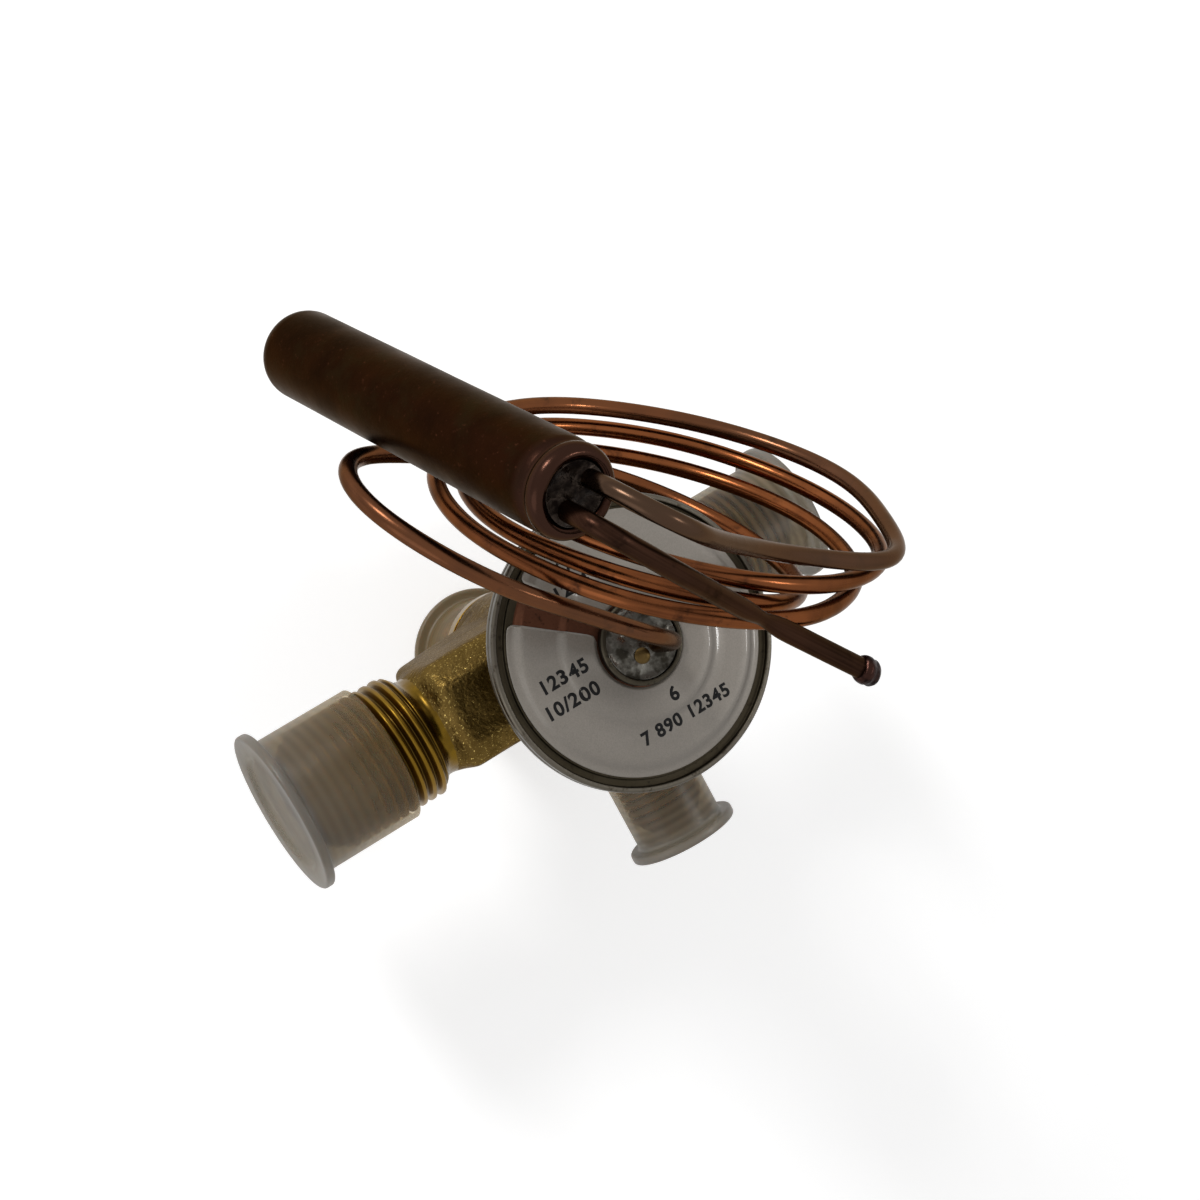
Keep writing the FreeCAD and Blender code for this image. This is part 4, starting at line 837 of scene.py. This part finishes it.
def build_boss():
    """The cup on the case that holds the capillary, the solder frozen in it and the brass plug."""
    steel = stained_steel("boss_steel_dull", ["#413c32", "#302c25", "#1f1c17"], 0.28)
    cup = rounded([(HUB, 33.15), (4.0, 33.15), (4.0, 34.0), (5.9, 34.0), (5.9, 35.2), (5.65, 35.4),
                   (5.15, 35.4), (5.15, 34.6), (HUB, 34.6)],
                  [0.02, 0.1, 0.05, 0.15, 0.25, 0.25, 0.2, 0.1, 0.02], closed=False)
    boss = turned("boss_cup", cup, closed=False, caps=(True, True), around=144)
    dress(boss, steel, "valve", "boss_metal", "capillary_boss")
    # Solder surface: a meniscus up the wall, with lumps that grow towards the middle
    radius = np.linspace(0.02, 5.08, 44)
    angle = np.linspace(0, 2 * math.pi, 120, endpoint=False)
    r, a = np.meshgrid(radius, angle, indexing="ij")
    wall = r / 5.1
    level = 34.78 + 0.3 * wall ** 6 + 0.16 * np.exp(-((r - 3.2) / 0.8) ** 2) * (1 + 0.5 * np.sin(2 * a + 2.0))
    level += 0.06 * np.sin(3 * a + 1.0) * np.exp(-((r - 2.8) / 0.8) ** 2)
    level += 0.05 * np.sin(5 * a + r * 2.0) * wall
    level += 0.3 * np.exp(-((r * np.cos(a) - 1.8) ** 2 + (r * np.sin(a) + 1.3) ** 2) / 2.4)
    rows = np.stack([r * np.cos(a), r * np.sin(a), level + PORT_HEIGHT / MM], -1)
    under = rows[::-1].copy()
    under[..., 2] = 34.61 + PORT_HEIGHT / MM
    solder = grid_object("boss_solder_pool", np.concatenate([rows, under[:-1]]) * MM, caps=(True, True))
    dress(solder, frozen_solder(["#6e6c66", "#2d2a24"], 1.4), "valve", "solder", "boss_solder")
    plug = rounded([(HUB, 33.2), (1.15, 33.2), (1.15, 34.95), (0.75, 35.1), (HUB, 35.12)],
                   [0.02, 0.05, 0.15, 0.2, 0.02], closed=False)
    brass = turned_brass("plug_brass_dull", ["#57462a", "#33280f"], 0.36)
    disc = turned("boss_plug_turned", plug, base=(-0.8, -1.7, PORT_HEIGHT / MM), closed=False,
                  caps=(True, True), around=48)
    dress(disc, brass, "valve", "plug_brass", "boss_plug")


# Caps

def build_caps():
    """The four push-on caps: a wall of even thickness, a flange and a shallow dish in the end."""
    plastic = frosted_polyethylene(*shades("cap", "cap_warm", "cap_valley_shade"), "#f4ecdc")
    around = 144
    bore_gap = 0.045
    wall_thickness = 0.85
    s = sizes()
    ports = [
        # node, direction, base height over the ports, face, thread radius and pitch, flange radius, length,
        # dish, how strongly the thread shows through
        ("outlet_cap", (-1, 0, 0), 0.0, 47.0, HALF_INCH, s.outlet_pitch, 12.3, 16.7, 0.7, 0.3),
        ("inlet_cap", (1, 0, 0), 0.0, 42.6, THREE_EIGHTHS, s.inlet_pitch, 10.7, 17.8, 0.7, 0.75),
        ("equalizer_cap", (0, -1, 0), BRANCH_RISE, 31.4, QUARTER_INCH, s.equalizer_pitch, 8.05, 14.0, 0.7,
         0.6),
        ("stem_cap", (0, 0, -1), 0.0, 37.0, THREE_EIGHTHS, s.inlet_pitch, 10.6, 13.4, 0.0, 0.3),
    ]
    for node, direction, rise, face, thread, pitch, flange, depth, dish, strength in ports:
        inner = thread + bore_gap
        wall = inner + wall_thickness
        mouth = face - depth
        points = [(HUB, face - 1.5), (inner, face - 1.5), (inner, mouth + 0.6), (inner + 0.3, mouth),
                  (wall, mouth), (wall, face - 1.4), (flange, face - 1.4), (flange, face)]
        radii = [0.02, 0.6, 0.2, 0.15, 0.2, 0.5, 0.5, 0.5]
        if dish:
            points += [(thread - 0.6, face), (thread - 1.4, face - dish), (HUB, face - dish)]
            radii += [0.4, 0.5, 0.02]
        else:
            points += [(HUB, face)]
            radii += [0.02]
        profile = rounded(points, radii, closed=False)
        # Rows along the wall, close enough to carry the look of the thread under it
        steps = np.linalg.norm(np.diff(profile, axis=0), axis=1)
        long = int(np.argmax(steps * (profile[:-1, 0] > wall - 0.01)))
        share = np.linspace(0, 1, int(depth / (pitch / MM) * 8))[1:-1, None]
        wall_rows = profile[long] * (1 - share) + profile[long + 1] * share
        profile = np.vstack([profile[:long + 1], wall_rows, profile[long + 1:]])
        cap = turned(node + "_moulding", profile, (0, 0, PORT_HEIGHT / MM + rise), direction, closed=False,
                     caps=(True, True), around=around)
        # Light goes through the wall with one veil, on its outer face, and hardly through the rest
        thin = np.clip((face - 1.9 - profile[:, 1]) / 0.8, 0, 1)
        bore = (profile[:, 0] < inner + 0.1) & (profile[:, 1] < face - 1.6)
        end = (profile[:, 0] < thread) & (profile[:, 1] > face - 1.6)
        # The wall is drafted, so it is thicker towards the flange
        draft = np.clip((face - 1.9 - profile[:, 1]) / (depth - 2), 0, 1)
        clear = np.where(bore, 1.0, np.where(end, 0.5, 0.2) * (1 - thin) + (0.26 + 0.24 * draft) * thin)
        warm = thin * (0.35 + 0.65 * draft) if dish else 0.7 + 0.3 * thin
        # Painted shade of the thread's valleys on the wall, strongest where the wall is thin
        turn = profile[:, 1, None] / (pitch / MM) - np.arange(around)[None] / around
        valley_shade = 0.5 - 0.5 * np.cos(2 * math.pi * turn)
        crest = 1 - strength * valley_shade * (thin * (profile[:, 0] > inner + 0.5))[:, None]
        mark(cap, "crest", np.concatenate([crest.ravel(), [1.0, 1.0]]))
        mark(cap, "clear", np.concatenate([np.repeat(clear, around), [1.0, 0.65]]))
        mark(cap, "warm", np.concatenate([np.repeat(warm, around), warm[[0, -1]]]))
        dress(cap, plastic, node + "_body", "cap_polyethylene", node)


# Bulb and tubes

BULB_FOOT = np.array([-18.63, 55.91, 20.33 + PORT_HEIGHT / MM])
BULB_RISE = math.radians(62.6)
BULB_HEADING = math.radians(-81.5)
BULB_AXIS = np.array([math.cos(BULB_RISE) * math.cos(BULB_HEADING),
                      math.cos(BULB_RISE) * math.sin(BULB_HEADING), math.sin(BULB_RISE)])
SIDE_U = np.cross(BULB_AXIS, [0, 0, 1.0])
SIDE_U /= np.linalg.norm(SIDE_U)
SIDE_W = np.cross(BULB_AXIS, SIDE_U)
BULB_LENGTH = 66.5


def in_bulb(along, u=0.0, w=0.0):
    """The point at a distance along the bulb's axis and to its sides, in mm."""
    return BULB_FOOT + BULB_AXIS * along + SIDE_U * u + SIDE_W * w


def build_bulb():
    """The bulb: a domed end, a plain tube, a rolled groove, a drawn-in shoulder and a recess with braze."""
    turn = np.linspace(0, math.pi / 2, 14)
    dome = np.stack([2.0 + 4.0 * np.sin(turn), 4.0 - 4.0 * np.cos(turn)], -1)
    body = [(5.99, 12.0), (6.0, 24.0), (5.98, 36.0), (6.0, 48.0), (6.0, 58.0), (5.99, 61.4), (5.97, 62.3)]
    end = [(5.9, 62.9), (5.68, 63.35), (5.56, 63.75), (5.64, 64.1), (5.86, 64.45), (5.93, 64.9),
           (5.86, 65.45), (5.6, 66.0), (5.2, 66.35), (4.8, 66.48), (4.4, 66.4), (4.16, 66.1), (4.08, 65.6),
           (4.06, 64.91), (HUB, 64.9)]
    profile = np.array([(HUB, 0.0), (1.0, 0.0)] + dome.tolist() + body + end)
    angle = np.linspace(0, 2 * math.pi, 128, endpoint=False)
    ring = np.cos(angle)[:, None] * SIDE_U + np.sin(angle)[:, None] * SIDE_W
    rows = (BULB_FOOT + profile[:, 1, None, None] * BULB_AXIS + profile[:, 0, None, None] * ring) * MM
    obj = grid_object("bulb_shell", rows, caps=(True, True))
    rubbed = np.clip((profile[:, 1] - 61.5) / 3.0, 0, 1) * (profile[:, 0] > 4.2)
    mark(obj, "rubbed", np.concatenate([np.repeat(rubbed, 128), [0.0, 0.0]]))
    copper = oxidised_copper([*shades("bulb", "bulb_dark"), "#1c130a", "#46281c", "#33211a"])
    dress(obj, copper, "valve", "bulb_copper", "sensing_bulb")
    # Braze that fills the recess and climbs a little up both tubes
    radius = np.linspace(0.02, 4.02, 30)
    r, a = np.meshgrid(radius, angle, indexing="ij")
    u = r * np.cos(a)
    w = r * np.sin(a)
    level = 65.85 + 0.25 * (r / 4.1) ** 4 + 0.12 * np.sin(3 * a) * (r / 4.1)
    level += 0.75 * (np.exp(-((u + 2.3) ** 2 + (w + 0.6) ** 2) / 2.4)
                     + np.exp(-((u - 2.0) ** 2 + (w - 0.9) ** 2) / 3.4))
    top = BULB_FOOT + level[..., None] * BULB_AXIS + u[..., None] * SIDE_U + w[..., None] * SIDE_W
    low = BULB_FOOT + 64.92 * BULB_AXIS + u[..., None] * SIDE_U + w[..., None] * SIDE_W
    braze = grid_object("bulb_braze_fill", np.concatenate([top, low[::-1][:-1]]) * MM, caps=(True, True))
    dress(braze, frozen_solder(["#2f2823", "#120d0b"]), "valve", "braze_metal", "bulb_braze")


def bent_line(points, spacing=0.45, ease=12):
    """The middle line of a bent tube: runs joined by arcs that take 0.45 of the shorter run at each
    corner, read off at even spacing, then eased by a short running mean so that its curvature flows."""
    points = np.array(points, float)
    here = points[1:-1]
    back = points[:-2] - here
    ahead = points[2:] - here
    back_length = np.linalg.norm(back, axis=1, keepdims=True)
    ahead_length = np.linalg.norm(ahead, axis=1, keepdims=True)
    back /= back_length
    ahead /= ahead_length
    cut = 0.45 * np.minimum(back_length, ahead_length)
    turn = math.pi - np.arccos(np.clip((back * ahead).sum(1, keepdims=True), -1, 1))
    radius = cut / np.tan(turn / 2)
    bisector = back + ahead
    bisector /= np.linalg.norm(bisector, axis=1, keepdims=True)
    centre = here + bisector * radius / np.cos(turn / 2)
    enter = (here + back * cut - centre) / radius
    leave = (here + ahead * cut - centre) / radius
    t = np.linspace(0, 1, 13)[None, :, None]
    swing = turn[:, None]
    arcs = centre[:, None] + radius[:, None] * (np.sin(swing * (1 - t)) * enter[:, None]
                                                + np.sin(swing * t) * leave[:, None]) / np.sin(swing)
    line = np.vstack([points[:1], arcs.reshape(-1, 3), points[-1:]])
    length_so_far = np.concatenate([[0], np.cumsum(np.linalg.norm(np.diff(line, axis=0), axis=1))])
    even = np.linspace(0, length_so_far[-1], int(length_so_far[-1] / spacing))
    line = np.stack([np.interp(even, length_so_far, line[:, k]) for k in range(3)], -1)
    return calm(line, ease, 0.5 * ease)


def calm(line, reach, clear):
    """Evens out a line by a running mean over reach points to each side, and leaves it as it is within
    clear points of its ends."""
    window = np.hanning(2 * reach + 3)[1:-1]
    window /= window.sum()
    padded = np.pad(line, ((reach, reach), (0, 0)), mode="edge")
    eased = np.stack([np.convolve(padded[:, k], window, "valid") for k in range(3)], -1)
    from_end = np.minimum(np.arange(len(line)), np.arange(len(line))[::-1])
    share = np.clip((from_end - clear) / reach, 0, 1)[:, None]
    return line * (1 - share) + eased * share


def tube_rows(line, across, upward, sides, reference):
    """Rings round a line: each point is line + across cos a * side + upward sin a * top, where side is
    square to the line and the reference direction, and top is square to both."""
    tangent = np.gradient(line, axis=0)
    tangent /= np.linalg.norm(tangent, axis=1, keepdims=True)
    side = np.cross(tangent, reference)
    side /= np.linalg.norm(side, axis=1, keepdims=True)
    top = np.cross(side, tangent)
    angle = np.linspace(0, 2 * math.pi, sides, endpoint=False)
    across = np.broadcast_to(across, len(line))[:, None, None]
    upward = np.broadcast_to(upward, len(line))[:, None, None]
    return (line[:, None] + across * np.cos(angle)[None, :, None] * side[:, None]
            + upward * np.sin(angle)[None, :, None] * top[:, None])


COIL_CENTRE = np.array([9.0, 16.1, 35.2 + PORT_HEIGHT / MM])
FACING = math.radians(52.1)
LEAN = math.radians(23.8)
OUTWARD = np.array([math.cos(FACING) * math.cos(LEAN), math.sin(FACING) * math.cos(LEAN), math.sin(LEAN)])
# Half-turns of the loose coil: reach of the start, reach of the middle across, and how far each stands out
HALF_TURNS = [
    (-21.6, 22.4, 0.5, -2.7), (21.6, -32.1, -5.4, -0.1), (-23.3, 27.8, -3.9, -1.2), (29.0, -34.3, 0.2, -3.3),
    (-27.6, 28.6, -4.3, 3.0), (33.0, -29.8, 2.4, 0.6), (-25.6, 27.3, 1.8, 5.9), (33.9, 0.0, 7.0, 0.0),
]


def coil_points():
    """Corners of the coil: an ellipse for each half-turn, pushed out by 1 / cos 22.5 degrees so that the
    arcs meet it, and standing out of the coil's plane in proportion to the angle."""
    longways = np.array([math.sin(FACING), -math.cos(FACING), 0])
    across = np.array([math.cos(FACING) * math.sin(LEAN), math.sin(FACING) * math.sin(LEAN), -math.cos(LEAN)])
    table = np.array(HALF_TURNS)
    row = table[:-1, None]
    following = table[1:, None]
    angle = np.radians([22.5, 67.5, 112.5, 157.5])[None, :]
    part = angle / (math.pi / 2)
    out = np.where(part < 1, row[..., 2] + (row[..., 3] - row[..., 2]) * part,
                   row[..., 3] + (following[..., 2] - row[..., 3]) * (part - 1))
    push = 1 / math.cos(math.radians(22.5))
    along = (row[..., 0] + following[..., 0]) / 2
    along = along + (row[..., 0] - following[..., 0]) / 2 * np.cos(angle) * push
    aside = row[..., 1] * np.sin(angle) * push
    points = COIL_CENTRE + along[..., None] * longways + aside[..., None] * across + out[..., None] * OUTWARD
    return points.reshape(-1, 3)


def build_capillary():
    """The capillary, bent by hand into a loose coil between the boss and the bulb."""
    lift = np.array([0, 0, PORT_HEIGHT / MM])
    lead_in = np.array([(1.8, -1.3, 33.15), (1.8, -1.3, 43.0), (-4.7, 3.0, 52.8), (-23.5, 21.1, 59.4),
                        (-30.7, 36.4, 53.4), (-25.9, 41.7, 41.3)]) + lift
    lead_out = np.array([(30.2, -6.9, 56.7), (14.2, 3.3, 62.0), (5.3, 8.9, 70.5)]) + lift
    arch = np.array([in_bulb(BULB_LENGTH + s, u, w) for s, u, w in (
        (6.7, -10.3, 12.6), (10.3, -6.4, 6.3), (9.7, -4.4, 3.1), (7.6, -3.0, 0.7), (4.6, -2.3, -0.6),
        (-1.6, -2.3, -0.6))])
    line = calm(bent_line(np.vstack([lead_in, coil_points(), lead_out, arch])), reach=24, clear=84)
    radius = sizes().tube_radius / MM
    rows = tube_rows(line, radius, radius, sizes().tube_sides, OUTWARD) * MM
    obj = grid_object("capillary_coil", rows, caps=(True, True))
    total = float(np.linalg.norm(np.diff(rows.mean(1), axis=0), axis=1).sum())
    stops = [(0.0, grey(0.8)), (0.03, grey(0.6)), (0.1, grey(0.35)), (0.2, grey(0.0)), (0.78, grey(0.1)),
             (0.87, grey(0.7)), (1.0, grey(1.0))]
    copper = drawn_copper("capillary_copper_drawn", [*shades("copper", "copper_dark"), "#86502e", "#331d13",
                                                     "#443429"], 0.2, (total, stops))
    dress(obj, copper, "valve", "capillary_copper", "capillary_tube")


def build_charge_tube():
    """The bulb's filling tube: round, then nipped flat where it was closed, then a flattened oval to the
    blob of braze at its tip. The half-width and half-height change smoothly along the line."""
    corners = ((-1.6, 2.0, 0.9), (6.5, 2.0, 0.9), (7.9, -3.6, 11.6), (4.2, -11.5, 26.3), (3.2, -23.8, 47.7))
    line = bent_line([in_bulb(BULB_LENGTH + s, u, w) for s, u, w in corners], spacing=0.3, ease=6)
    place = np.concatenate([[0], np.cumsum(np.linalg.norm(np.diff(line, axis=0), axis=1))])
    nip = place[-1] - 22.0       # how far from the foot the tube was nipped flat, in mm
    step = 1 / (1 + np.exp(-(place - nip - 0.5) / 0.9))
    dent = np.exp(-((place - nip) / 2.6) ** 2)
    radius = sizes().charge_radius / MM
    flat_across, flat_upward = 1.4, 0.95
    across = radius + (flat_across - radius) * step - 0.42 * dent
    upward = radius + (flat_upward - radius) * step - 0.2 * dent
    tip = line[-1] - line[-2]
    flatwise = np.cross(tip, [0, 0, 1.0])
    flatwise /= np.linalg.norm(flatwise)
    reference = np.cross(flatwise, tip / np.linalg.norm(tip))
    rows = tube_rows(line, across, upward, 28, reference) * MM
    obj = grid_object("charge_tube_nipped", rows, caps=(True, True))
    copper = drawn_copper("charge_copper_heated", ["#2e1c14", "#1e120d", "#483226", "#170d0a"], 0.28)
    dress(obj, copper, "valve", "charge_copper", "charge_tube")
    # The blob: a collar, a waist and a blunt point, slightly lumpy round its axis
    onward = tip / np.linalg.norm(tip)
    profile = np.array([(1.15, -1.75), (1.55, -1.6), (1.8, -1.2), (1.86, -0.7), (1.7, -0.2), (1.66, 0.15),
                        (1.74, 0.5), (1.55, 0.95), (1.15, 1.35), (0.7, 1.62), (0.3, 1.76), (0.02, 1.8)])
    angle = np.linspace(0, 2 * math.pi, 40, endpoint=False)
    lump = 1 + 0.05 * np.sin(2 * angle + 0.6) + 0.03 * np.sin(3 * angle)
    ring = np.cos(angle)[:, None] * flatwise + np.sin(angle)[:, None] * reference
    blob = (line[-1] - onward * 0.05 + profile[:, 1, None, None] * onward
            + (profile[:, 0, None] * lump[None, :])[..., None] * ring) * MM
    piece = grid_object("charge_seal_blob", blob, caps=(True, True))
    dress(piece, frozen_solder(["#33211c", "#170f0d"]), "valve", "braze_metal", "charge_seal")


# Pieces inside the valve

def finish_inner_pieces():
    """Finishes for the CAD nodes whose shape is right as it is."""
    brass = turned_brass("inner_brass_turned", shades("turned", "turned_dark"), 0.24)
    stainless = plain_finish("stainless_steel_ground", ["#b4b4b0", "#93938f"], 1.0, 0.26)
    graphite = plain_finish("packing_graphite_pressed", ["#1a1a1c", "#262628"], 0.0, 0.55, 0.3)
    copper = plain_finish("gasket_copper_annealed", ["#a8684a", "#8a523a"], 1.0, 0.34)
    fibre = plain_finish("gasket_fibre_pressed", ["#4a4238", "#3a342c"], 0.0, 0.7, 0.3)
    mesh = plain_finish("strainer_wire_woven", ["#8c8674", "#5c5848"], 1.0, 0.4, 0.15)
    finishes = {
        "diaphragm": stainless, "buffer_plate": brass, "element_gasket": fibre, "seat_insert": brass,
        "valve_pin": stainless, "pin_carrier": brass, "push_rods": stainless, "superheat_spring": stainless,
        "spring_seat": brass, "adjusting_stem": brass, "stem_packing": graphite, "gland_gasket": copper,
        "inlet_strainer": mesh,
    }
    for node, material in finishes.items():
        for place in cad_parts[node].material_slots:
            place.material = material


# Camera, lights and floor

def seen_rays(tree):
    """1 for the rays that show the background: straight, through the plastic, or in a reflection."""
    path = add(tree, "LightPath").outputs
    seen = add(tree, "Math", {0: path["Is Camera Ray"], 1: path["Is Transmission Ray"]}, operation="MAXIMUM")
    return add(tree, "Math", {0: seen.outputs[0], 1: path["Is Glossy Ray"]}, operation="MAXIMUM").outputs[0]


def build_stage():
    """Camera at the photograph's angle, three soft lamps, an even sky and a pale floor."""
    scene = bpy.context.scene
    camera = bpy.data.objects.new("camera", bpy.data.cameras.new("camera"))
    scene.collection.objects.link(camera)
    # The camera's own directions, its place and its lens, fitted to the outlines of the case and the caps
    right = (0.8116, -0.4697, 0.3474)
    up = (0.4861, 0.8728, 0.0444)
    back = (-0.3240, 0.1328, 0.9367)
    turn = Matrix((right, up, back)).transposed().to_4x4()
    camera.matrix_world = Matrix.Translation((-0.11170, 0.05248, 0.35101 + PORT_HEIGHT)) @ turn
    camera.data.sensor_width = 36.0
    camera.data.lens = 76.49
    camera.data.clip_start = 0.01
    scene.camera = camera
    scene.view_settings.view_transform = "Standard"

    lamps = [
        # name, power, size, place in camera terms (right, up, toward the camera), in metres
        ("key_lamp", 3.0, 0.2, (-0.3, 0.5, 0.55)),
        ("side_lamp", 0.8, 0.09, (0.70, 0.06, 0.40)),
        ("fill_lamp", 0.9, 0.6, (-0.5, -0.45, 0.5)),
    ]
    basis = np.array([right, up, back])
    aim = np.array([0.0, 0.012, 0.06])      # the middle of the object, where all three lamps point
    for name, power, size, place in lamps:
        data = bpy.data.lights.new(name, "AREA")
        data.energy = power
        data.size = size
        data.shape = "DISK"
        lamp = bpy.data.objects.new(name, data)
        where = aim + np.array(place) @ basis
        direction = where - aim
        from_z = Matrix(np.array([*axes_of(direction)]).tolist()).transposed()
        lamp.matrix_world = Matrix.Translation(where.tolist()) @ from_z.to_4x4()
        scene.collection.objects.link(lamp)

    world = bpy.data.worlds.new("even_sky")
    scene.world = world
    world.use_nodes = True
    tree = world.node_tree
    tree.nodes.clear()
    seen = seen_rays(tree)
    plain = add(tree, "Background", {"Color": linear("#ffffff"), "Strength": 0.38})
    white = add(tree, "Background", {"Color": linear("#ffffff"), "Strength": 1.0})
    mixed = add(tree, "MixShader", {0: seen, 1: plain.outputs[0], 2: white.outputs[0]})
    add(tree, "OutputWorld", {"Surface": mixed.outputs[0]})

    floor_places = np.array([(-3, -3, 0), (3, -3, 0), (3, 3, 0), (-3, 3, 0)], float)
    mesh = bpy.data.meshes.new("floor")
    mesh.from_pydata(floor_places.tolist(), [], [(0, 1, 2, 3)])
    floor = bpy.data.objects.new("floor", mesh)
    scene.collection.objects.link(floor)
    material, tree, shader = start_material("floor_pale", Roughness=0.9)
    shader.inputs["Base Color"].default_value = linear("#f4f4f4")
    seen = seen_rays(tree)
    glow = add(tree, "Emission", {"Color": linear("#ffffff"), "Strength": 0.45})
    dark = add(tree, "Emission", {"Color": linear("#000000"), "Strength": 0.0})
    lift = add(tree, "MixShader", {0: seen, 1: dark.outputs[0], 2: glow.outputs[0]})
    both = add(tree, "AddShader", {0: shader.outputs[0], 1: lift.outputs[0]})
    tree.links.new(both.outputs[0], output_of(tree).inputs["Surface"])
    floor.data.materials.append(material)


# Operators and panel

class VALVE_OT_body(bpy.types.Operator):
    """Build the forged body and its threads"""
    bl_idname = "valve.body"
    bl_label = "Body and threads"

    def execute(self, context):
        build_valve_body()
        return {"FINISHED"}


class VALVE_OT_gland(bpy.types.Operator):
    """Build the gland round the adjusting stem"""
    bl_idname = "valve.gland"
    bl_label = "Gland"

    def execute(self, context):
        build_gland()
        return {"FINISHED"}


class VALVE_OT_case(bpy.types.Operator):
    """Build the two halves of the diaphragm case"""
    bl_idname = "valve.case"
    bl_label = "Diaphragm case"

    def execute(self, context):
        build_case()
        return {"FINISHED"}


class VALVE_OT_label(bpy.types.Operator):
    """Build the film on the case and its plain numbers"""
    bl_idname = "valve.label"
    bl_label = "Label"

    def execute(self, context):
        build_label()
        build_label_numbers()
        return {"FINISHED"}


class VALVE_OT_boss(bpy.types.Operator):
    """Build the boss of the capillary with its solder and plug"""
    bl_idname = "valve.boss"
    bl_label = "Capillary boss"

    def execute(self, context):
        build_boss()
        return {"FINISHED"}


class VALVE_OT_caps(bpy.types.Operator):
    """Build the four plastic caps"""
    bl_idname = "valve.caps"
    bl_label = "Caps"

    def execute(self, context):
        build_caps()
        return {"FINISHED"}


class VALVE_OT_bulb(bpy.types.Operator):
    """Build the sensing bulb and its braze"""
    bl_idname = "valve.bulb"
    bl_label = "Sensing bulb"

    def execute(self, context):
        build_bulb()
        return {"FINISHED"}


class VALVE_OT_tubes(bpy.types.Operator):
    """Build the capillary coil and the bulb's filling tube"""
    bl_idname = "valve.tubes"
    bl_label = "Tubes"

    def execute(self, context):
        build_capillary()
        build_charge_tube()
        return {"FINISHED"}


class VALVE_OT_inside(bpy.types.Operator):
    """Finish the pieces inside the valve"""
    bl_idname = "valve.inside"
    bl_label = "Inner pieces"

    def execute(self, context):
        finish_inner_pieces()
        return {"FINISHED"}


class VALVE_OT_stage(bpy.types.Operator):
    """Set up the camera, the lamps and the floor"""
    bl_idname = "valve.stage"
    bl_label = "Stage"

    def execute(self, context):
        build_stage()
        return {"FINISHED"}


STEPS = [VALVE_OT_stage, VALVE_OT_body, VALVE_OT_gland, VALVE_OT_case, VALVE_OT_label, VALVE_OT_boss,
         VALVE_OT_caps, VALVE_OT_bulb, VALVE_OT_tubes, VALVE_OT_inside]


class VALVE_PT_panel(bpy.types.Panel):
    """The sizes, the colours and the steps"""
    bl_idname = "VALVE_PT_panel"
    bl_label = "Expansion valve"
    bl_space_type = "VIEW_3D"
    bl_region_type = "UI"
    bl_category = "Valve"

    def draw(self, context):
        for group in (context.scene.valve_sizes, context.scene.valve_colours):
            box = self.layout.box()
            for key in type(group).__annotations__:
                box.prop(group, key)
        for step in STEPS:
            self.layout.operator(step.bl_idname)


CLASSES = [ValveSizes, ValveColours] + STEPS + [VALVE_PT_panel]


def register():
    for item in CLASSES:
        bpy.utils.register_class(item)
    bpy.types.Scene.valve_sizes = PointerProperty(type=ValveSizes)
    bpy.types.Scene.valve_colours = PointerProperty(type=ValveColours)


def unregister():
    del bpy.types.Scene.valve_sizes
    del bpy.types.Scene.valve_colours
    for item in reversed(CLASSES):
        bpy.utils.unregister_class(item)


def main():
    register()
    for step in STEPS:
        group, name = step.bl_idname.split(".")
        getattr(getattr(bpy.ops, group), name)()


if __name__ == "__main__":
    main()
